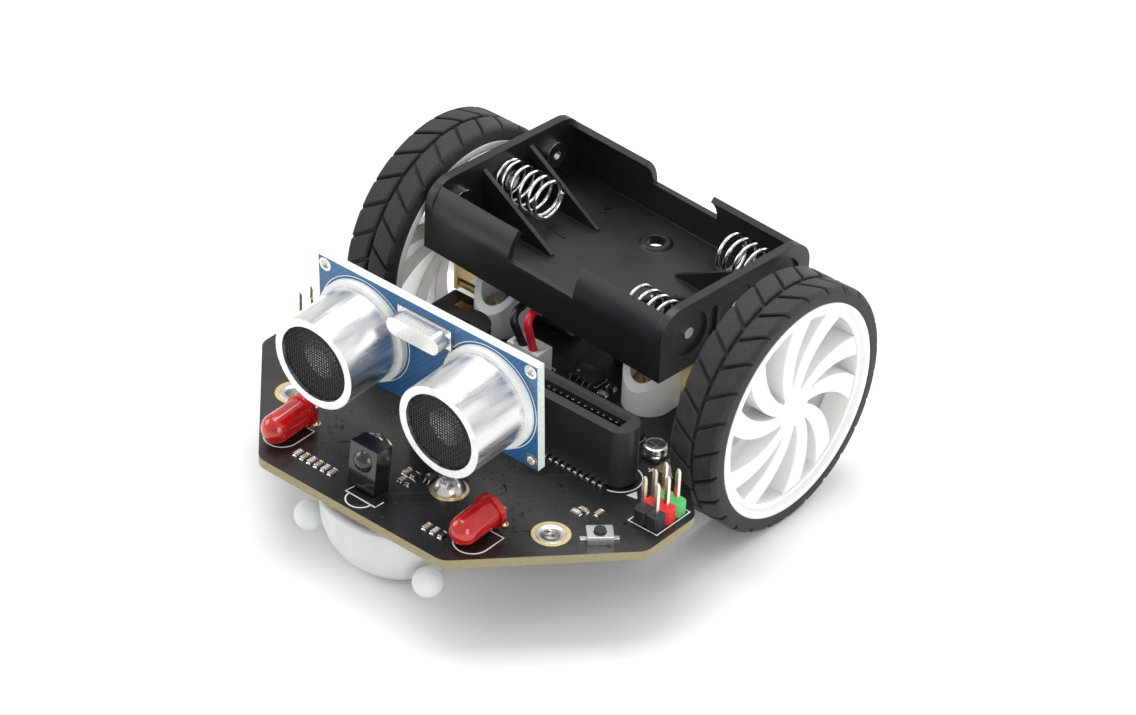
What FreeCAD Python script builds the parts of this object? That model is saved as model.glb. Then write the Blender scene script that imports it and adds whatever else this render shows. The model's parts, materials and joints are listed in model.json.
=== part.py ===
import FreeCAD, Part
import math
import os
from FreeCAD import Vector

# Two-wheel line follower robot. Millimetres, +Z up, the front faces -Y, -X is called left.
# The model is laid out from the wheel axle (x = 0 in the middle, y = 0 under the axle, z = 0 on the
# floor) and save() then moves it back by AXLE_Y, which puts the origin under the middle of the robot.

# ---- overall sizes ----
WHEEL_RADIUS = 21.5
AXLE_Z = WHEEL_RADIUS
FRONT_Y = -62.8
REAR_Y = 21.5
AXLE_Y = -(FRONT_Y + REAR_Y) / 2

# ---- main board ----
BOARD_TOP = 16.5
BOARD_THICK = 1.6
BOARD_BOTTOM = BOARD_TOP - BOARD_THICK
BOARD_HALF = 40.75
BOARD_CORNER_R = 3.0
BOARD_WAIST = 28.0
NOTCH_X = 20.5
NOTCH_HALF_Y = 6.15
BOARD_SIDE = [(19.3, FRONT_Y), (BOARD_HALF, -39.4), (BOARD_HALF, -27.4), (35.2, -22.2),
              (BOARD_WAIST, -22.2), (BOARD_WAIST, -NOTCH_HALF_Y), (NOTCH_X, -NOTCH_HALF_Y),
              (NOTCH_X, NOTCH_HALF_Y), (BOARD_WAIST, NOTCH_HALF_Y), (BOARD_WAIST, 15.5), (22.9, REAR_Y)]
BOARD_SIDE_RADII = [BOARD_CORNER_R] * 3 + [1.0, 1.0, 0.5, 0.5, 0.5, 0.5, 3.0, 3.0]

# ---- wheels ----
WHEEL_FACE_X = 39.28
TYRE_WIDTH = 9.4
WHEEL_BACK_X = WHEEL_FACE_X - TYRE_WIDTH
RIM_RADIUS = 18.8
RIM_WALL = 1.3
SPOKE_PAIRS = 5
SPOKE_SPREAD = 15.0
SPOKE_FIRST = 149.0
SPOKE_SWIRL = 2.15
SPOKE_FACE_X = WHEEL_FACE_X - 0.9
SPOKE_BACK_X = SPOKE_FACE_X - 4.6
HUB_RADIUS = 3.6
HUB_BACK_X = 30.4
SHAFT_RADIUS = 1.5
SHAFT_END_X = 37.2

# ---- gear motor ----
GEARBOX_FACE_X = 28.5
GEARBOX_BACK_X = 19.5
MOTOR_BACK_X = 4.5
MOTOR_HALF_Y = 6.0
MOTOR_HALF_Z = 5.0
GEAR_MODULE = 0.13
SMALL_TEETH = 9
LARGE_TEETH = 36
GEAR_CENTRES = GEAR_MODULE * (SMALL_TEETH + LARGE_TEETH) / 2
FIRST_PIN_ANGLE = -30.0
SECOND_PIN_ANGLE = 30.0
GEAR_PIN_RADIUS = 0.3

# ---- motor bracket ----
BRACKET_X = (11.6, 20.1)
BRACKET_TOP = 27.5
EAR_X = 15.85
EAR_Y = 9.0
EAR_RADIUS = 4.25
EAR_FLOOR = 19.4

# ---- battery holder, stuck on by hand a little askew ----
HOLDER_BOTTOM = 28.5
HOLDER_CENTRE = Vector(-1.0, 2.0, 0)
HOLDER_TURN = -4.0
HOLDER_HALF_L = 26.5
HOLDER_HALF_W = 17.5
HOLDER_FLOOR = 1.2
HOLDER_WALL = 1.1
HOLDER_END = 1.6
HOLDER_TOP = 40.7
CELL_PITCH = 10.9
CELL_AXIS_Z = HOLDER_BOTTOM + HOLDER_FLOOR + 5.4
CURL_RADIUS = HOLDER_HALF_W - CELL_PITCH
CURL_ANGLE = 48.0
GAP_HALF = 7.2

# ---- sonar ----
SONAR_FACE_Y = -44.46
SONAR_BOTTOM = 25.3
SONAR_SIZE = (45.2, 1.6, 20.1)
SONAR_LEAN = 3.5
CAN_X = 13.0
CAN_RADIUS = 8.0
CAN_LENGTH = 12.0

# ---- front caster ----
CASTER_Y = -50.7
BALL_RADIUS = 6.0
BALL_GAP = 0.15
CASTER_SCREW_X = 8.1
CASTER_SCREW_Y = -48.4

# ---- small parts ----
INSERT_X = 27.15
INSERT_Y = -46.2
INSERT_BORE = 1.25
SCREW_M2 = 0.98
SCREW_M3 = 1.45
HOLE_PLAY = 0.07
X_AXIS = Vector(1, 0, 0)
Y_AXIS = Vector(0, 1, 0)
Z_AXIS = Vector(0, 0, 1)


def box(low, high):
    """A block between two opposite corners."""
    return Part.makeBox(high[0] - low[0], high[1] - low[1], high[2] - low[2], Vector(*low))


def rod(radius, start, end):
    """A round bar between two points."""
    way = Vector(end) - Vector(start)
    return Part.makeCylinder(radius, way.Length, Vector(start), way)


def tube(outer, inner, start, end):
    """A round bar with a hole along it."""
    return rod(outer, start, end).cut(rod(inner, start, end))


def joined(shapes):
    """One solid from overlapping ones."""
    first, rest = shapes[0], shapes[1:]
    return first.fuse(rest).removeSplitter() if rest else first


def mirrored(shape):
    """The same piece on the other side of the robot."""
    return shape.mirror(Vector(0, 0, 0), X_AXIS)


def both_sides(shapes):
    """The pieces and their mirror images."""
    return list(shapes) + [mirrored(shape) for shape in shapes]


def moved(shape, x, y, z=0.0):
    """A copy of the piece, shifted."""
    copy = shape.copy()
    copy.translate(Vector(x, y, z))
    return copy


def rounded_prism(points, radii, z_low, z_high):
    """A plate with the given corners, each rounded by an arc."""
    edges = []
    count = len(points)
    stops = []
    for i, (x, y) in enumerate(points):
        here = Vector(x, y, z_low)
        before = (Vector(*points[i - 1], z_low) - here).normalize()
        after = (Vector(*points[(i + 1) % count], z_low) - here).normalize()
        half_turn = before.getAngle(after) / 2
        reach = radii[i] / math.tan(half_turn)
        middle = here + (before + after).normalize() * (radii[i] / math.sin(half_turn) - radii[i])
        stops.append((here + before * reach, middle, here + after * reach))
    for i, (start, middle, end) in enumerate(stops):
        edges.append(Part.Arc(start, middle, end).toShape())
        edges.append(Part.LineSegment(end, stops[(i + 1) % count][0]).toShape())
    return Part.Face(Part.Wire(edges)).extrude(Vector(0, 0, z_high - z_low))


def block(centre, size, turn=0.0):
    """A block of the given size standing on a point, turned about the vertical."""
    x, y, z = centre
    shape = box((x - size[0] / 2, y - size[1] / 2, z), (x + size[0] / 2, y + size[1] / 2, z + size[2]))
    shape.rotate(Vector(x, y, z), Z_AXIS, turn)
    return shape


def save(node, shapes):
    """Writes one node, moved to the robot's own origin."""
    shape = shapes if isinstance(shapes, Part.Shape) else Part.makeCompound(shapes)
    shape = moved(shape, 0, AXLE_Y)
    shape.exportStep("parts/%s.step" % node)


def pan_screw(x, y, head_z, shank_r, head_r, head_h, shank_end, up=True):
    """A pan-head screw with a cross recess; its head stands up, or hangs down if up is false."""
    sign = 1 if up else -1
    dome_r = (head_r ** 2 + head_h ** 2) / (2 * head_h) * 1.05
    top = head_z + sign * head_h
    head = rod(head_r, (x, y, head_z), (x, y, top))
    head = head.common(Part.makeSphere(dome_r, Vector(x, y, top - sign * dome_r)))
    slot_w = head_r * 0.18
    slot_l = head_r * 0.55
    depth_z = sorted((top, top - sign * head_h * 0.6))
    for half_x, half_y in ((slot_w, slot_l), (slot_l, slot_w)):
        head = head.cut(box((x - half_x, y - half_y, depth_z[0]), (x + half_x, y + half_y, depth_z[1])))
    return joined([head, rod(shank_r, (x, y, shank_end), (x, y, head_z + sign * head_h * 0.2))])


def hex_nut(x, y, z, across, height, bore):
    """A hexagonal nut lying flat."""
    corner = across / math.sqrt(3)
    points = [Vector(x + corner * math.cos(math.radians(60 * i)),
                     y + corner * math.sin(math.radians(60 * i)), z) for i in range(6)]
    prism = Part.Face(Part.makePolygon(points + [points[0]])).extrude(Vector(0, 0, height))
    return prism.cut(rod(bore, (x, y, z), (x, y, z + height)))


# ------------------------------------------------------------------ main board
def make_main_board():
    """The chassis board: a plate with a blunt nose, waisted between the wheels, notched at the axle."""
    left = [(-x, y) for x, y in reversed(BOARD_SIDE)]
    radii = BOARD_SIDE_RADII + BOARD_SIDE_RADII[::-1]
    board = rounded_prism(BOARD_SIDE + left, radii, BOARD_BOTTOM, BOARD_TOP)
    holes = [(INSERT_X, INSERT_Y, 2.1), (CASTER_SCREW_X, CASTER_SCREW_Y, SCREW_M3 + HOLE_PLAY),
             (EAR_X, EAR_Y, SCREW_M2 + HOLE_PLAY), (EAR_X, -EAR_Y, SCREW_M2 + HOLE_PLAY)]
    for x, y, radius in holes:
        for side in (-1, 1):
            board = board.cut(rod(radius, (side * x, y, BOARD_BOTTOM - 1), (side * x, y, BOARD_TOP + 1)))
    return board


def make_threaded_inserts():
    """Two flanged inserts at the nose, tapped M3."""
    shape = joined([tube(2.1, INSERT_BORE, (INSERT_X, INSERT_Y, BOARD_BOTTOM - 0.6),
                         (INSERT_X, INSERT_Y, BOARD_TOP + 0.15)),
                    tube(2.95, INSERT_BORE, (INSERT_X, INSERT_Y, BOARD_TOP),
                         (INSERT_X, INSERT_Y, BOARD_TOP + 0.06))])
    return both_sides([shape])


# ------------------------------------------------------------------ card slot
SLOT_FRONT_Y = -30.9
SLOT_BACK_Y = -24.9
SLOT_CORNER_R = 2.9
SLOT_MIDDLE_Y = -27.45
SLOT_HALF_GAP = 0.95
SLOT_HALF_L = 28.4
MOUTH_HALF_L = 26.0
MOUTH_BEVEL = 0.7
SLOT_TOP = 27.3
SLOT_BASE = BOARD_TOP + 0.3
CONTACT_COUNT = 40
CONTACT_PITCH = 1.27
CONTACT_HALF_W = 0.25
FOOT_TIPS_Y = {-1: -31.75, 1: -23.9}


def make_edge_connector():
    """The black housing that a controller card is pushed down into."""
    corners = [(-SLOT_HALF_L, SLOT_FRONT_Y), (SLOT_HALF_L, SLOT_FRONT_Y),
               (SLOT_HALF_L, SLOT_BACK_Y), (-SLOT_HALF_L, SLOT_BACK_Y)]
    housing = rounded_prism(corners, [SLOT_CORNER_R] * 4, SLOT_BASE, SLOT_TOP)
    front, back = SLOT_MIDDLE_Y - SLOT_HALF_GAP, SLOT_MIDDLE_Y + SLOT_HALF_GAP
    slot = box((-MOUTH_HALF_L, front, SLOT_BASE - 1), (MOUTH_HALF_L, back, SLOT_TOP + 1))
    mouth = [Vector(0, front, SLOT_TOP - MOUTH_BEVEL), Vector(0, back, SLOT_TOP - MOUTH_BEVEL),
             Vector(0, back + MOUTH_BEVEL, SLOT_TOP), Vector(0, front - MOUTH_BEVEL, SLOT_TOP)]
    bevel = Part.Face(Part.makePolygon(mouth + [mouth[0]])).extrude(Vector(2 * MOUTH_HALF_L, 0, 0))
    bevel.translate(Vector(-MOUTH_HALF_L, 0, 0))
    return housing.cut([slot, bevel])


def make_edge_contacts():
    """Two rows of sprung contacts inside the slot, with solder feet outside."""
    contacts = []
    half_w = CONTACT_HALF_W
    for side, tip_y in FOOT_TIPS_Y.items():
        wall_y = SLOT_MIDDLE_Y + side * SLOT_HALF_GAP
        inner_y = wall_y - side * 0.25
        foot_y = sorted((inner_y, tip_y))
        blade_y = sorted((inner_y, wall_y - side * 0.02))
        for i in range(CONTACT_COUNT):
            x = (i - (CONTACT_COUNT - 1) / 2) * CONTACT_PITCH
            foot = box((x - half_w, foot_y[0], BOARD_TOP), (x + half_w, foot_y[1], SLOT_BASE - 0.02))
            blade = box((x - half_w, blade_y[0], BOARD_TOP), (x + half_w, blade_y[1], SLOT_TOP - 1.6))
            contacts.append(foot.fuse(blade))
    return contacts


# ------------------------------------------------------------------ sonar module
def leaned(shapes):
    """Sonar pieces with the module's slight forward lean."""
    result = []
    for shape in shapes:
        copy = shape.copy()
        copy.rotate(Vector(0, SONAR_FACE_Y, SONAR_BOTTOM), X_AXIS, SONAR_LEAN)
        result.append(copy)
    return result


def make_sonar_board():
    """The small upright board that carries the sonar."""
    half_l = SONAR_SIZE[0] / 2
    board = box((-half_l, SONAR_FACE_Y, SONAR_BOTTOM),
                (half_l, SONAR_FACE_Y + SONAR_SIZE[1], SONAR_BOTTOM + SONAR_SIZE[2]))
    inset = 1.4
    for x in (-half_l + inset, half_l - inset):
        for z in (SONAR_BOTTOM + inset, SONAR_BOTTOM + SONAR_SIZE[2] - inset):
            board = board.cut(rod(0.8, (x, SONAR_FACE_Y - 1, z), (x, SONAR_FACE_Y + 3, z)))
    return leaned([board])


def make_sonar_cans():
    """Two aluminium cans, open at the front behind a rolled lip."""
    z = SONAR_BOTTOM + SONAR_SIZE[2] / 2
    back_y = SONAR_FACE_Y - 1.2
    front_y = SONAR_FACE_Y - CAN_LENGTH
    cans = []
    for x in (-CAN_X, CAN_X):
        shell = tube(CAN_RADIUS, CAN_RADIUS - 0.5, (x, back_y, z), (x, front_y, z))
        lip = tube(CAN_RADIUS, CAN_RADIUS - 1.35, (x, front_y + 0.7, z), (x, front_y, z))
        cans.append(joined([shell, lip]))
    return leaned(cans)


def make_sonar_meshes():
    """A woven mesh disc behind the lip of each can."""
    z = SONAR_BOTTOM + SONAR_SIZE[2] / 2
    front_y = SONAR_FACE_Y - CAN_LENGTH + 0.7
    return leaned([rod(CAN_RADIUS - 0.5, (x, front_y + 0.3, z), (x, front_y, z)) for x in (-CAN_X, CAN_X)])


def make_sonar_bases():
    """The white moulded base of each transducer: a ring on the board and a plug inside the can."""
    z = SONAR_BOTTOM + SONAR_SIZE[2] / 2
    bases = []
    for x in (-CAN_X, CAN_X):
        ring = rod(8.9, (x, SONAR_FACE_Y, z), (x, SONAR_FACE_Y - 1.2, z))
        plug = rod(CAN_RADIUS - 0.5, (x, SONAR_FACE_Y, z), (x, SONAR_FACE_Y - 8.5, z))
        bases.append(joined([ring, plug]))
    return leaned(bases)


def make_sonar_crystal():
    """The oval metal crystal case near the top edge, lying along the board."""
    half_l, half_w, depth = 5.35, 1.65, 3.3
    y = SONAR_FACE_Y
    z = 42.2
    middle = box((-half_l + half_w, y - depth, z - half_w), (half_l - half_w, y, z + half_w))
    ends = [rod(half_w, (x, y, z), (x, y - depth, z)) for x in (-half_l + half_w, half_l - half_w)]
    base = box((-half_l - 0.15, y - 0.5, z - half_w - 0.25), (half_l + 0.15, y, z + half_w + 0.25))
    return leaned([joined([middle] + ends + [base])])


HEADER_PITCH = 2.54
SONAR_PIN_Y = -41.6


def make_sonar_pins():
    """Four right-angle pins from the back of the sonar board down into the socket, with their strip."""
    pieces = []
    back_y = SONAR_FACE_Y + SONAR_SIZE[1] + 0.05
    for i in range(4):
        x = (i - 1.5) * HEADER_PITCH
        down = box((x - 0.3, SONAR_PIN_Y - 0.3, BOARD_TOP + 2.0), (x + 0.3, SONAR_PIN_Y + 0.3, 27.6))
        across = box((x - 0.3, back_y, 27.0), (x + 0.3, SONAR_PIN_Y + 0.3, 27.6))
        pieces.append(down.fuse(across).removeSplitter())
    return pieces


def make_sonar_socket():
    """The tall black four-way socket that holds the sonar up."""
    half_l = 2 * HEADER_PITCH + 0.1
    body = box((-half_l, SONAR_PIN_Y - 1.25, BOARD_TOP), (half_l, SONAR_PIN_Y + 1.25, BOARD_TOP + 8.5))
    for i in range(4):
        x = (i - 1.5) * HEADER_PITCH
        body = body.cut(box((x - 0.35, SONAR_PIN_Y - 0.35, BOARD_TOP + 1.5),
                            (x + 0.35, SONAR_PIN_Y + 0.35, BOARD_TOP + 9)))
    return body


# ------------------------------------------------------------------ lamps and receiver
LED_PLACES = [(-20.2, -51.2), (18.9, -50.6)]
LED_RADIUS = 2.5
LED_FLANGE_R = 2.9
LED_BARREL = 6.5
LED_DROOP = 3.0
LED_Z = BOARD_TOP + LED_FLANGE_R + 0.06
LEAD_PITCH = 2.54
LEAD_WIRE = 0.5
LEAD_REACH = 1.6
RECEIVER_X = -1.7
RECEIVER_FRONT_Y = -58.3
RECEIVER_SIZE = (5.6, 3.5, 7.9)
RECEIVER_BOTTOM = BOARD_TOP + 0.4
RECEIVER_LEAN = -5.5
RECEIVER_LENS_R = 2.1


def make_led_lamps():
    """Two 5 mm lamps lying on the board and looking forward, noses slightly down."""
    lamps = []
    for x, back_y in LED_PLACES:
        body = rod(LED_RADIUS, (x, back_y, LED_Z), (x, back_y - LED_BARREL, LED_Z))
        dome = Part.makeSphere(LED_RADIUS, Vector(x, back_y - LED_BARREL, LED_Z))
        flange = rod(LED_FLANGE_R, (x, back_y, LED_Z), (x, back_y - 1.0, LED_Z))
        lamp = joined([body, dome, flange])
        lamp.rotate(Vector(x, back_y, LED_Z), X_AXIS, LED_DROOP)
        lamps.append(lamp)
    return lamps


def make_infrared_receiver():
    """The black receiver block with its round lens facing forward, leaning back a little."""
    width, depth, height = RECEIVER_SIZE
    foot = Vector(RECEIVER_X, RECEIVER_FRONT_Y, RECEIVER_BOTTOM)
    body = box((RECEIVER_X - width / 2, RECEIVER_FRONT_Y, RECEIVER_BOTTOM),
               (RECEIVER_X + width / 2, RECEIVER_FRONT_Y + depth, RECEIVER_BOTTOM + height))
    lens = Part.makeSphere(RECEIVER_LENS_R, foot + Vector(0, 0.9, 5.2))
    receiver = joined([body, lens])
    receiver.rotate(foot, X_AXIS, RECEIVER_LEAN)
    return receiver


def make_component_leads():
    """Bent leads behind the lamps and straight ones under the receiver."""
    leads = []
    half = LEAD_WIRE / 2
    for lamp_x, back_y in LED_PLACES:
        for x in (lamp_x - LEAD_PITCH / 2, lamp_x + LEAD_PITCH / 2):
            end_y = back_y + LEAD_REACH
            back = box((x - half, back_y + 0.02, LED_Z - half), (x + half, end_y, LED_Z + half))
            down = box((x - half, end_y - LEAD_WIRE, BOARD_TOP), (x + half, end_y, LED_Z + half))
            leads.append(back.fuse(down).removeSplitter())
    y = RECEIVER_FRONT_Y + RECEIVER_SIZE[1] * 0.6
    for x in (RECEIVER_X - LEAD_PITCH * 0.9, RECEIVER_X, RECEIVER_X + LEAD_PITCH * 0.9):
        leads.append(box((x - half, y - half, BOARD_TOP), (x + half, y + half, RECEIVER_BOTTOM - 0.26)))
    return leads


# ------------------------------------------------------------------ headers, buttons, battery plug
SERVO_X = (35.2, 37.74)
SERVO_ROWS_Y = (-33.75, -31.21, -28.67)
SERVO_BASE_H = 2.5
SERVO_PIN_H = 5.9
SERVO_PIN_W = 0.64


def make_servo_base(y):
    """One row of a servo header's insulator, both sides of the robot."""
    middle_x = sum(SERVO_X) / 2
    body = block((middle_x, y, BOARD_TOP), (2 * HEADER_PITCH, HEADER_PITCH - 0.04, SERVO_BASE_H))
    return both_sides([body])


def make_servo_pins():
    """Six square pins in each servo header."""
    size = (SERVO_PIN_W, SERVO_PIN_W, SERVO_PIN_H)
    base_top = BOARD_TOP + SERVO_BASE_H
    return both_sides([block((x, y, base_top), size) for x in SERVO_X for y in SERVO_ROWS_Y])


BUTTON_X = 33.5
BUTTON_Y = -42.1
BUTTON_TURN = 45.0
BUTTON_CAP_R = 0.94
BUTTON_SIZE = (4.2, 3.2, 1.6)
BUTTON_FEET = (6.2, 0.9, 0.35)
BUTTON_RISE = 0.45


def make_button_frame():
    """The push switch's case, with a well for the cap and a solder foot at each end."""
    foot_point = (BUTTON_X, BUTTON_Y, BOARD_TOP)
    body = block(foot_point, BUTTON_SIZE, BUTTON_TURN)
    well_r = BUTTON_CAP_R + 0.08
    body = body.cut(rod(well_r, (BUTTON_X, BUTTON_Y, BOARD_TOP + 0.5), (BUTTON_X, BUTTON_Y, BOARD_TOP + 2)))
    return joined([body, block(foot_point, BUTTON_FEET, BUTTON_TURN)])


def make_button_cap():
    """The round push button."""
    top = BOARD_TOP + BUTTON_SIZE[2] + BUTTON_RISE
    return rod(BUTTON_CAP_R, (BUTTON_X, BUTTON_Y, BOARD_TOP + 0.9), (BUTTON_X, BUTTON_Y, top))


SWITCH_Y = 17.4
SWITCH_TRAVEL = 2.0
SWITCH_TOP = BOARD_TOP + 3.6


def make_power_switch_case():
    """The slide switch's case at the rear edge, with a window for the slider."""
    case = box((-4.5, SWITCH_Y - 2.0, BOARD_TOP), (4.5, SWITCH_Y + 2.0, SWITCH_TOP))
    window = box((-2.2, SWITCH_Y - 0.8, BOARD_TOP + 0.8), (2.2, SWITCH_Y + 3.0, BOARD_TOP + 2.8))
    return case.cut(window)


def make_power_switch_slider():
    """The slider, at its left (off) stop."""
    x = -SWITCH_TRAVEL / 2
    return box((x - 0.9, SWITCH_Y - 0.5, BOARD_TOP + 0.9), (x + 0.9, REAR_Y - 0.2, BOARD_TOP + 2.7))


PLUG_X = -4.4
PLUG_Y = -14.8
SOCKET_SIZE = (6.5, 3.8, 4.6)
PLUG_SIZE = (4.9, 2.3)
PLUG_TOP = BOARD_TOP + 4.1
LEAD_RADIUS = 0.7
LEAD_END = Vector(0, PLUG_Y, PLUG_TOP - 0.9)
LEAD_CORNERS = {
    "red": [Vector(-5.0, -10.3, HOLDER_BOTTOM + 1.1), Vector(-4.8, -11.7, 26.9),
            Vector(-4.2, -16.3, 27.0), LEAD_END + Vector(-3.4, 0, 0)],
    "black": [Vector(-8.0, -10.3, HOLDER_BOTTOM + 1.1), Vector(-7.8, -11.6, 26.2),
              Vector(-7.4, -16.3, 26.1), LEAD_END + Vector(-5.4, 0, 0)],
}


def make_battery_socket():
    """The white two-way socket that the battery lead plugs into, open towards the front in the middle."""
    length, width, height = SOCKET_SIZE
    half_l, half_w = length / 2, width / 2
    wall = 0.7
    body = block((PLUG_X, PLUG_Y, BOARD_TOP), SOCKET_SIZE)
    well = box((PLUG_X - half_l + wall, PLUG_Y - half_w + wall, BOARD_TOP + 1.0),
               (PLUG_X + half_l - wall, PLUG_Y + half_w - wall, BOARD_TOP + height + 1))
    notch = box((PLUG_X - 2.0, PLUG_Y - half_w - 1, BOARD_TOP + 2.6),
                (PLUG_X + 2.0, PLUG_Y - half_w + wall + 0.1, BOARD_TOP + height + 1))
    return body.cut([well, notch])


def make_battery_plug():
    """The plug on the battery leads."""
    half_l, half_w = PLUG_SIZE[0] / 2, PLUG_SIZE[1] / 2
    body = box((PLUG_X - half_l, PLUG_Y - half_w, BOARD_TOP + 1.05),
               (PLUG_X + half_l, PLUG_Y + half_w, PLUG_TOP))
    for corners in LEAD_CORNERS.values():
        before, last = corners[-2:]
        body = body.cut(rod(LEAD_RADIUS + HOLE_PLAY, last, before))
    return body


def make_lead(points):
    """A battery lead: a round tube along straight runs joined by tangent arcs."""
    edges = []
    start = points[0]
    for i in range(1, len(points) - 1):
        before = points[i - 1] - points[i]
        after = points[i + 1] - points[i]
        half_turn = before.getAngle(after) / 2
        reach = 0.45 * min(before.Length, after.Length)
        radius = reach * math.tan(half_turn)
        print("lead bend radius %.2f mm" % radius)
        into = points[i] + before.normalize() * reach
        out_of = points[i] + after.normalize() * reach
        bisector = (before + after).normalize()
        middle = points[i] + bisector * (radius / math.sin(half_turn) - radius)
        edges.append(Part.LineSegment(start, into).toShape())
        edges.append(Part.Arc(into, middle, out_of).toShape())
        start = out_of
    edges.append(Part.LineSegment(start, points[-1]).toShape())
    path = Part.Wire(edges)
    way = points[1] - points[0]
    ring = Part.Wire(Part.Circle(points[0], way, LEAD_RADIUS).toShape())
    lead = path.makePipeShell([ring], True, False)
    expected = math.pi * LEAD_RADIUS ** 2 * path.Length
    print("lead volume %.3f, section times length %.3f" % (lead.Volume, expected))
    return lead


BUZZER_X = -14.9
BUZZER_Y = -18.8
BUZZER_RADIUS = 4.3
BUZZER_TOP = BOARD_TOP + 5.7


def make_buzzer():
    """The round buzzer behind the card slot."""
    body = rod(BUZZER_RADIUS, (BUZZER_X, BUZZER_Y, BOARD_TOP), (BUZZER_X, BUZZER_Y, BUZZER_TOP))
    return body.cut(rod(0.9, (BUZZER_X, BUZZER_Y, BUZZER_TOP - 2), (BUZZER_X, BUZZER_Y, BUZZER_TOP + 1)))


CAPACITOR_X = 26.0
CAPACITOR_Y = -19.4
CAPACITOR_R = 2.0
CAPACITOR_TOP = BOARD_TOP + 2.3


def make_storage_capacitor():
    """The round capacitor on its square base, beside the right wheel."""
    x, y = CAPACITOR_X, CAPACITOR_Y
    side = 2 * CAPACITOR_R - 0.3
    base = block((x, y, BOARD_TOP), (side, side, 0.5))
    can = rod(CAPACITOR_R, (x, y, BOARD_TOP + 0.4), (x, y, CAPACITOR_TOP))
    return joined([base, can])


CHIP_SIZE = (1.6, 0.8, 0.5)
SMALL_PARTS = [(-15.5 + 1.48 * i, -57.7, 90) for i in range(6)]
SMALL_PARTS += [(12.05 + 1.62 * i, -58.0, 90) for i in range(3)]
SMALL_PARTS += [(0.3, -49.5, 90), (1.9, -49.5, 90), (1.1, -51.5, 90), (2.6, -51.5, 90)]
SMALL_PARTS += [(26.5, -39.4, 0), (27.0, -38.2, 0), (29.2, -37.1, 90)]
SMALL_PARTS += [(9.3, -12.3, 0), (9.3, -10.1, 0), (12.0, -15.4, 90), (-22.6, -17.0, 0)]


def make_small_parts():
    """Resistors and capacitors, soldered flat."""
    return [block((x, y, BOARD_TOP), CHIP_SIZE, turn) for x, y, turn in SMALL_PARTS]


# centre x and y, body length and width, leg pitch, number of legs along each side
CHIPS = [(7.0, -18.2, 5.0, 4.0, 0.8, 6), (19.9, -18.2, 3.6, 3.2, 0.8, 4), (4.4, -48.4, 1.4, 1.6, 0.8, 2),
         (4.5, -10.3, 4.9, 3.5, 1.27, 4), (0.0, 10.0, 7.0, 7.0, 0.8, 8)]


def make_chips():
    """Integrated circuits: bodies with legs along two sides."""
    pieces = []
    for x, y, length, width, pitch, count in CHIPS:
        body = block((x, y, BOARD_TOP + 0.15), (length, width, 0.9))
        legs = []
        for i in range(count):
            leg_x = x + (i - (count - 1) / 2) * pitch
            legs.append(block((leg_x, y, BOARD_TOP), (0.35, width + 1.6, 0.3)))
        pieces.append(joined([body] + legs))
    return pieces


# ------------------------------------------------------------------ underside
SENSOR_X = 6.5
SENSOR_Y = -33.0
SENSOR_SIZE = (6.2, 3.2, 6.4)
SENSOR_EYE_R = 0.9


def make_line_sensors():
    """Two reflective sensors that look down at the line."""
    sensors = []
    low_z = BOARD_BOTTOM - SENSOR_SIZE[2]
    for x in (-SENSOR_X, SENSOR_X):
        body = block((x, SENSOR_Y, low_z), SENSOR_SIZE)
        for eye_x in (x - 1.5, x + 1.5):
            body = body.cut(rod(SENSOR_EYE_R, (eye_x, SENSOR_Y, low_z - 1), (eye_x, SENSOR_Y, low_z + 0.8)))
        sensors.append(body)
    return sensors


def make_colour_lamps():
    """Four square lamps under the corners of the board."""
    lamps = []
    for x, y in ((22.0, -40.0), (24.0, 12.0)):
        body = block((x, y, BOARD_BOTTOM - 1.5), (5.0, 5.0, 1.5))
        lamps.append(body.cut(rod(1.9, (x, y, BOARD_BOTTOM - 2), (x, y, BOARD_BOTTOM - 0.9))))
    return both_sides(lamps)


# ------------------------------------------------------------------ caster
FLANGE_BOTTOM = BOARD_BOTTOM - 1.5


def revolved(points):
    """A solid turned about the caster's vertical axis from radius and height pairs."""
    ring = [Vector(radius, CASTER_Y, height) for radius, height in points]
    face = Part.Face(Part.makePolygon(ring + [ring[0]]))
    return face.revolve(Vector(0, CASTER_Y, 0), Z_AXIS, 360)


def make_caster_housing():
    """The white bowl that holds the ball, its flange under the board and its round-ended feet."""
    outer = revolved([(0, 0.8), (6.3, 0.8), (7.3, 1.2), (8.5, 2.3), (10.4, 4.2), (11.8, 6.6), (12.6, 9.0),
                      (13.0, FLANGE_BOTTOM + 0.3), (0, FLANGE_BOTTOM + 0.3)])
    hollow = revolved([(7.4, 2.8), (9.2, 4.8), (10.5, 7.2), (11.2, 9.4), (11.5, FLANGE_BOTTOM - 0.2),
                       (7.4, FLANGE_BOTTOM - 0.2)])
    corners = [(-15.9, -60.9), (15.9, -60.9), (15.9, -46.5), (-15.9, -46.5)]
    flange = rounded_prism(corners, [3.0] * 4, FLANGE_BOTTOM, BOARD_BOTTOM)
    feet = []
    for side in (-1, 1):
        for x, y, radius, low in ((12.6, -58.2, 2.5, 3.7), (13.9, -54.6, 1.8, 3.6)):
            feet.append(rod(radius, (side * x, y, low + radius), (side * x, y, FLANGE_BOTTOM + 0.5)))
            feet.append(Part.makeSphere(radius, Vector(side * x, y, low + radius)))
    housing = joined([outer.cut(hollow), flange] + feet)
    housing = housing.cut([Part.makeSphere(BALL_RADIUS + BALL_GAP, Vector(0, CASTER_Y, BALL_RADIUS)),
                           rod(4.3, (0, CASTER_Y, 0), (0, CASTER_Y, BALL_RADIUS)),
                           rod(3.4, (0, CASTER_Y, BALL_RADIUS), (0, CASTER_Y, BOARD_BOTTOM + 1))])
    for x in (-CASTER_SCREW_X, CASTER_SCREW_X):
        housing = housing.cut(rod(SCREW_M3 + HOLE_PLAY, (x, CASTER_SCREW_Y, 9.0),
                                  (x, CASTER_SCREW_Y, BOARD_BOTTOM + 1)))
    return housing


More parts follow.
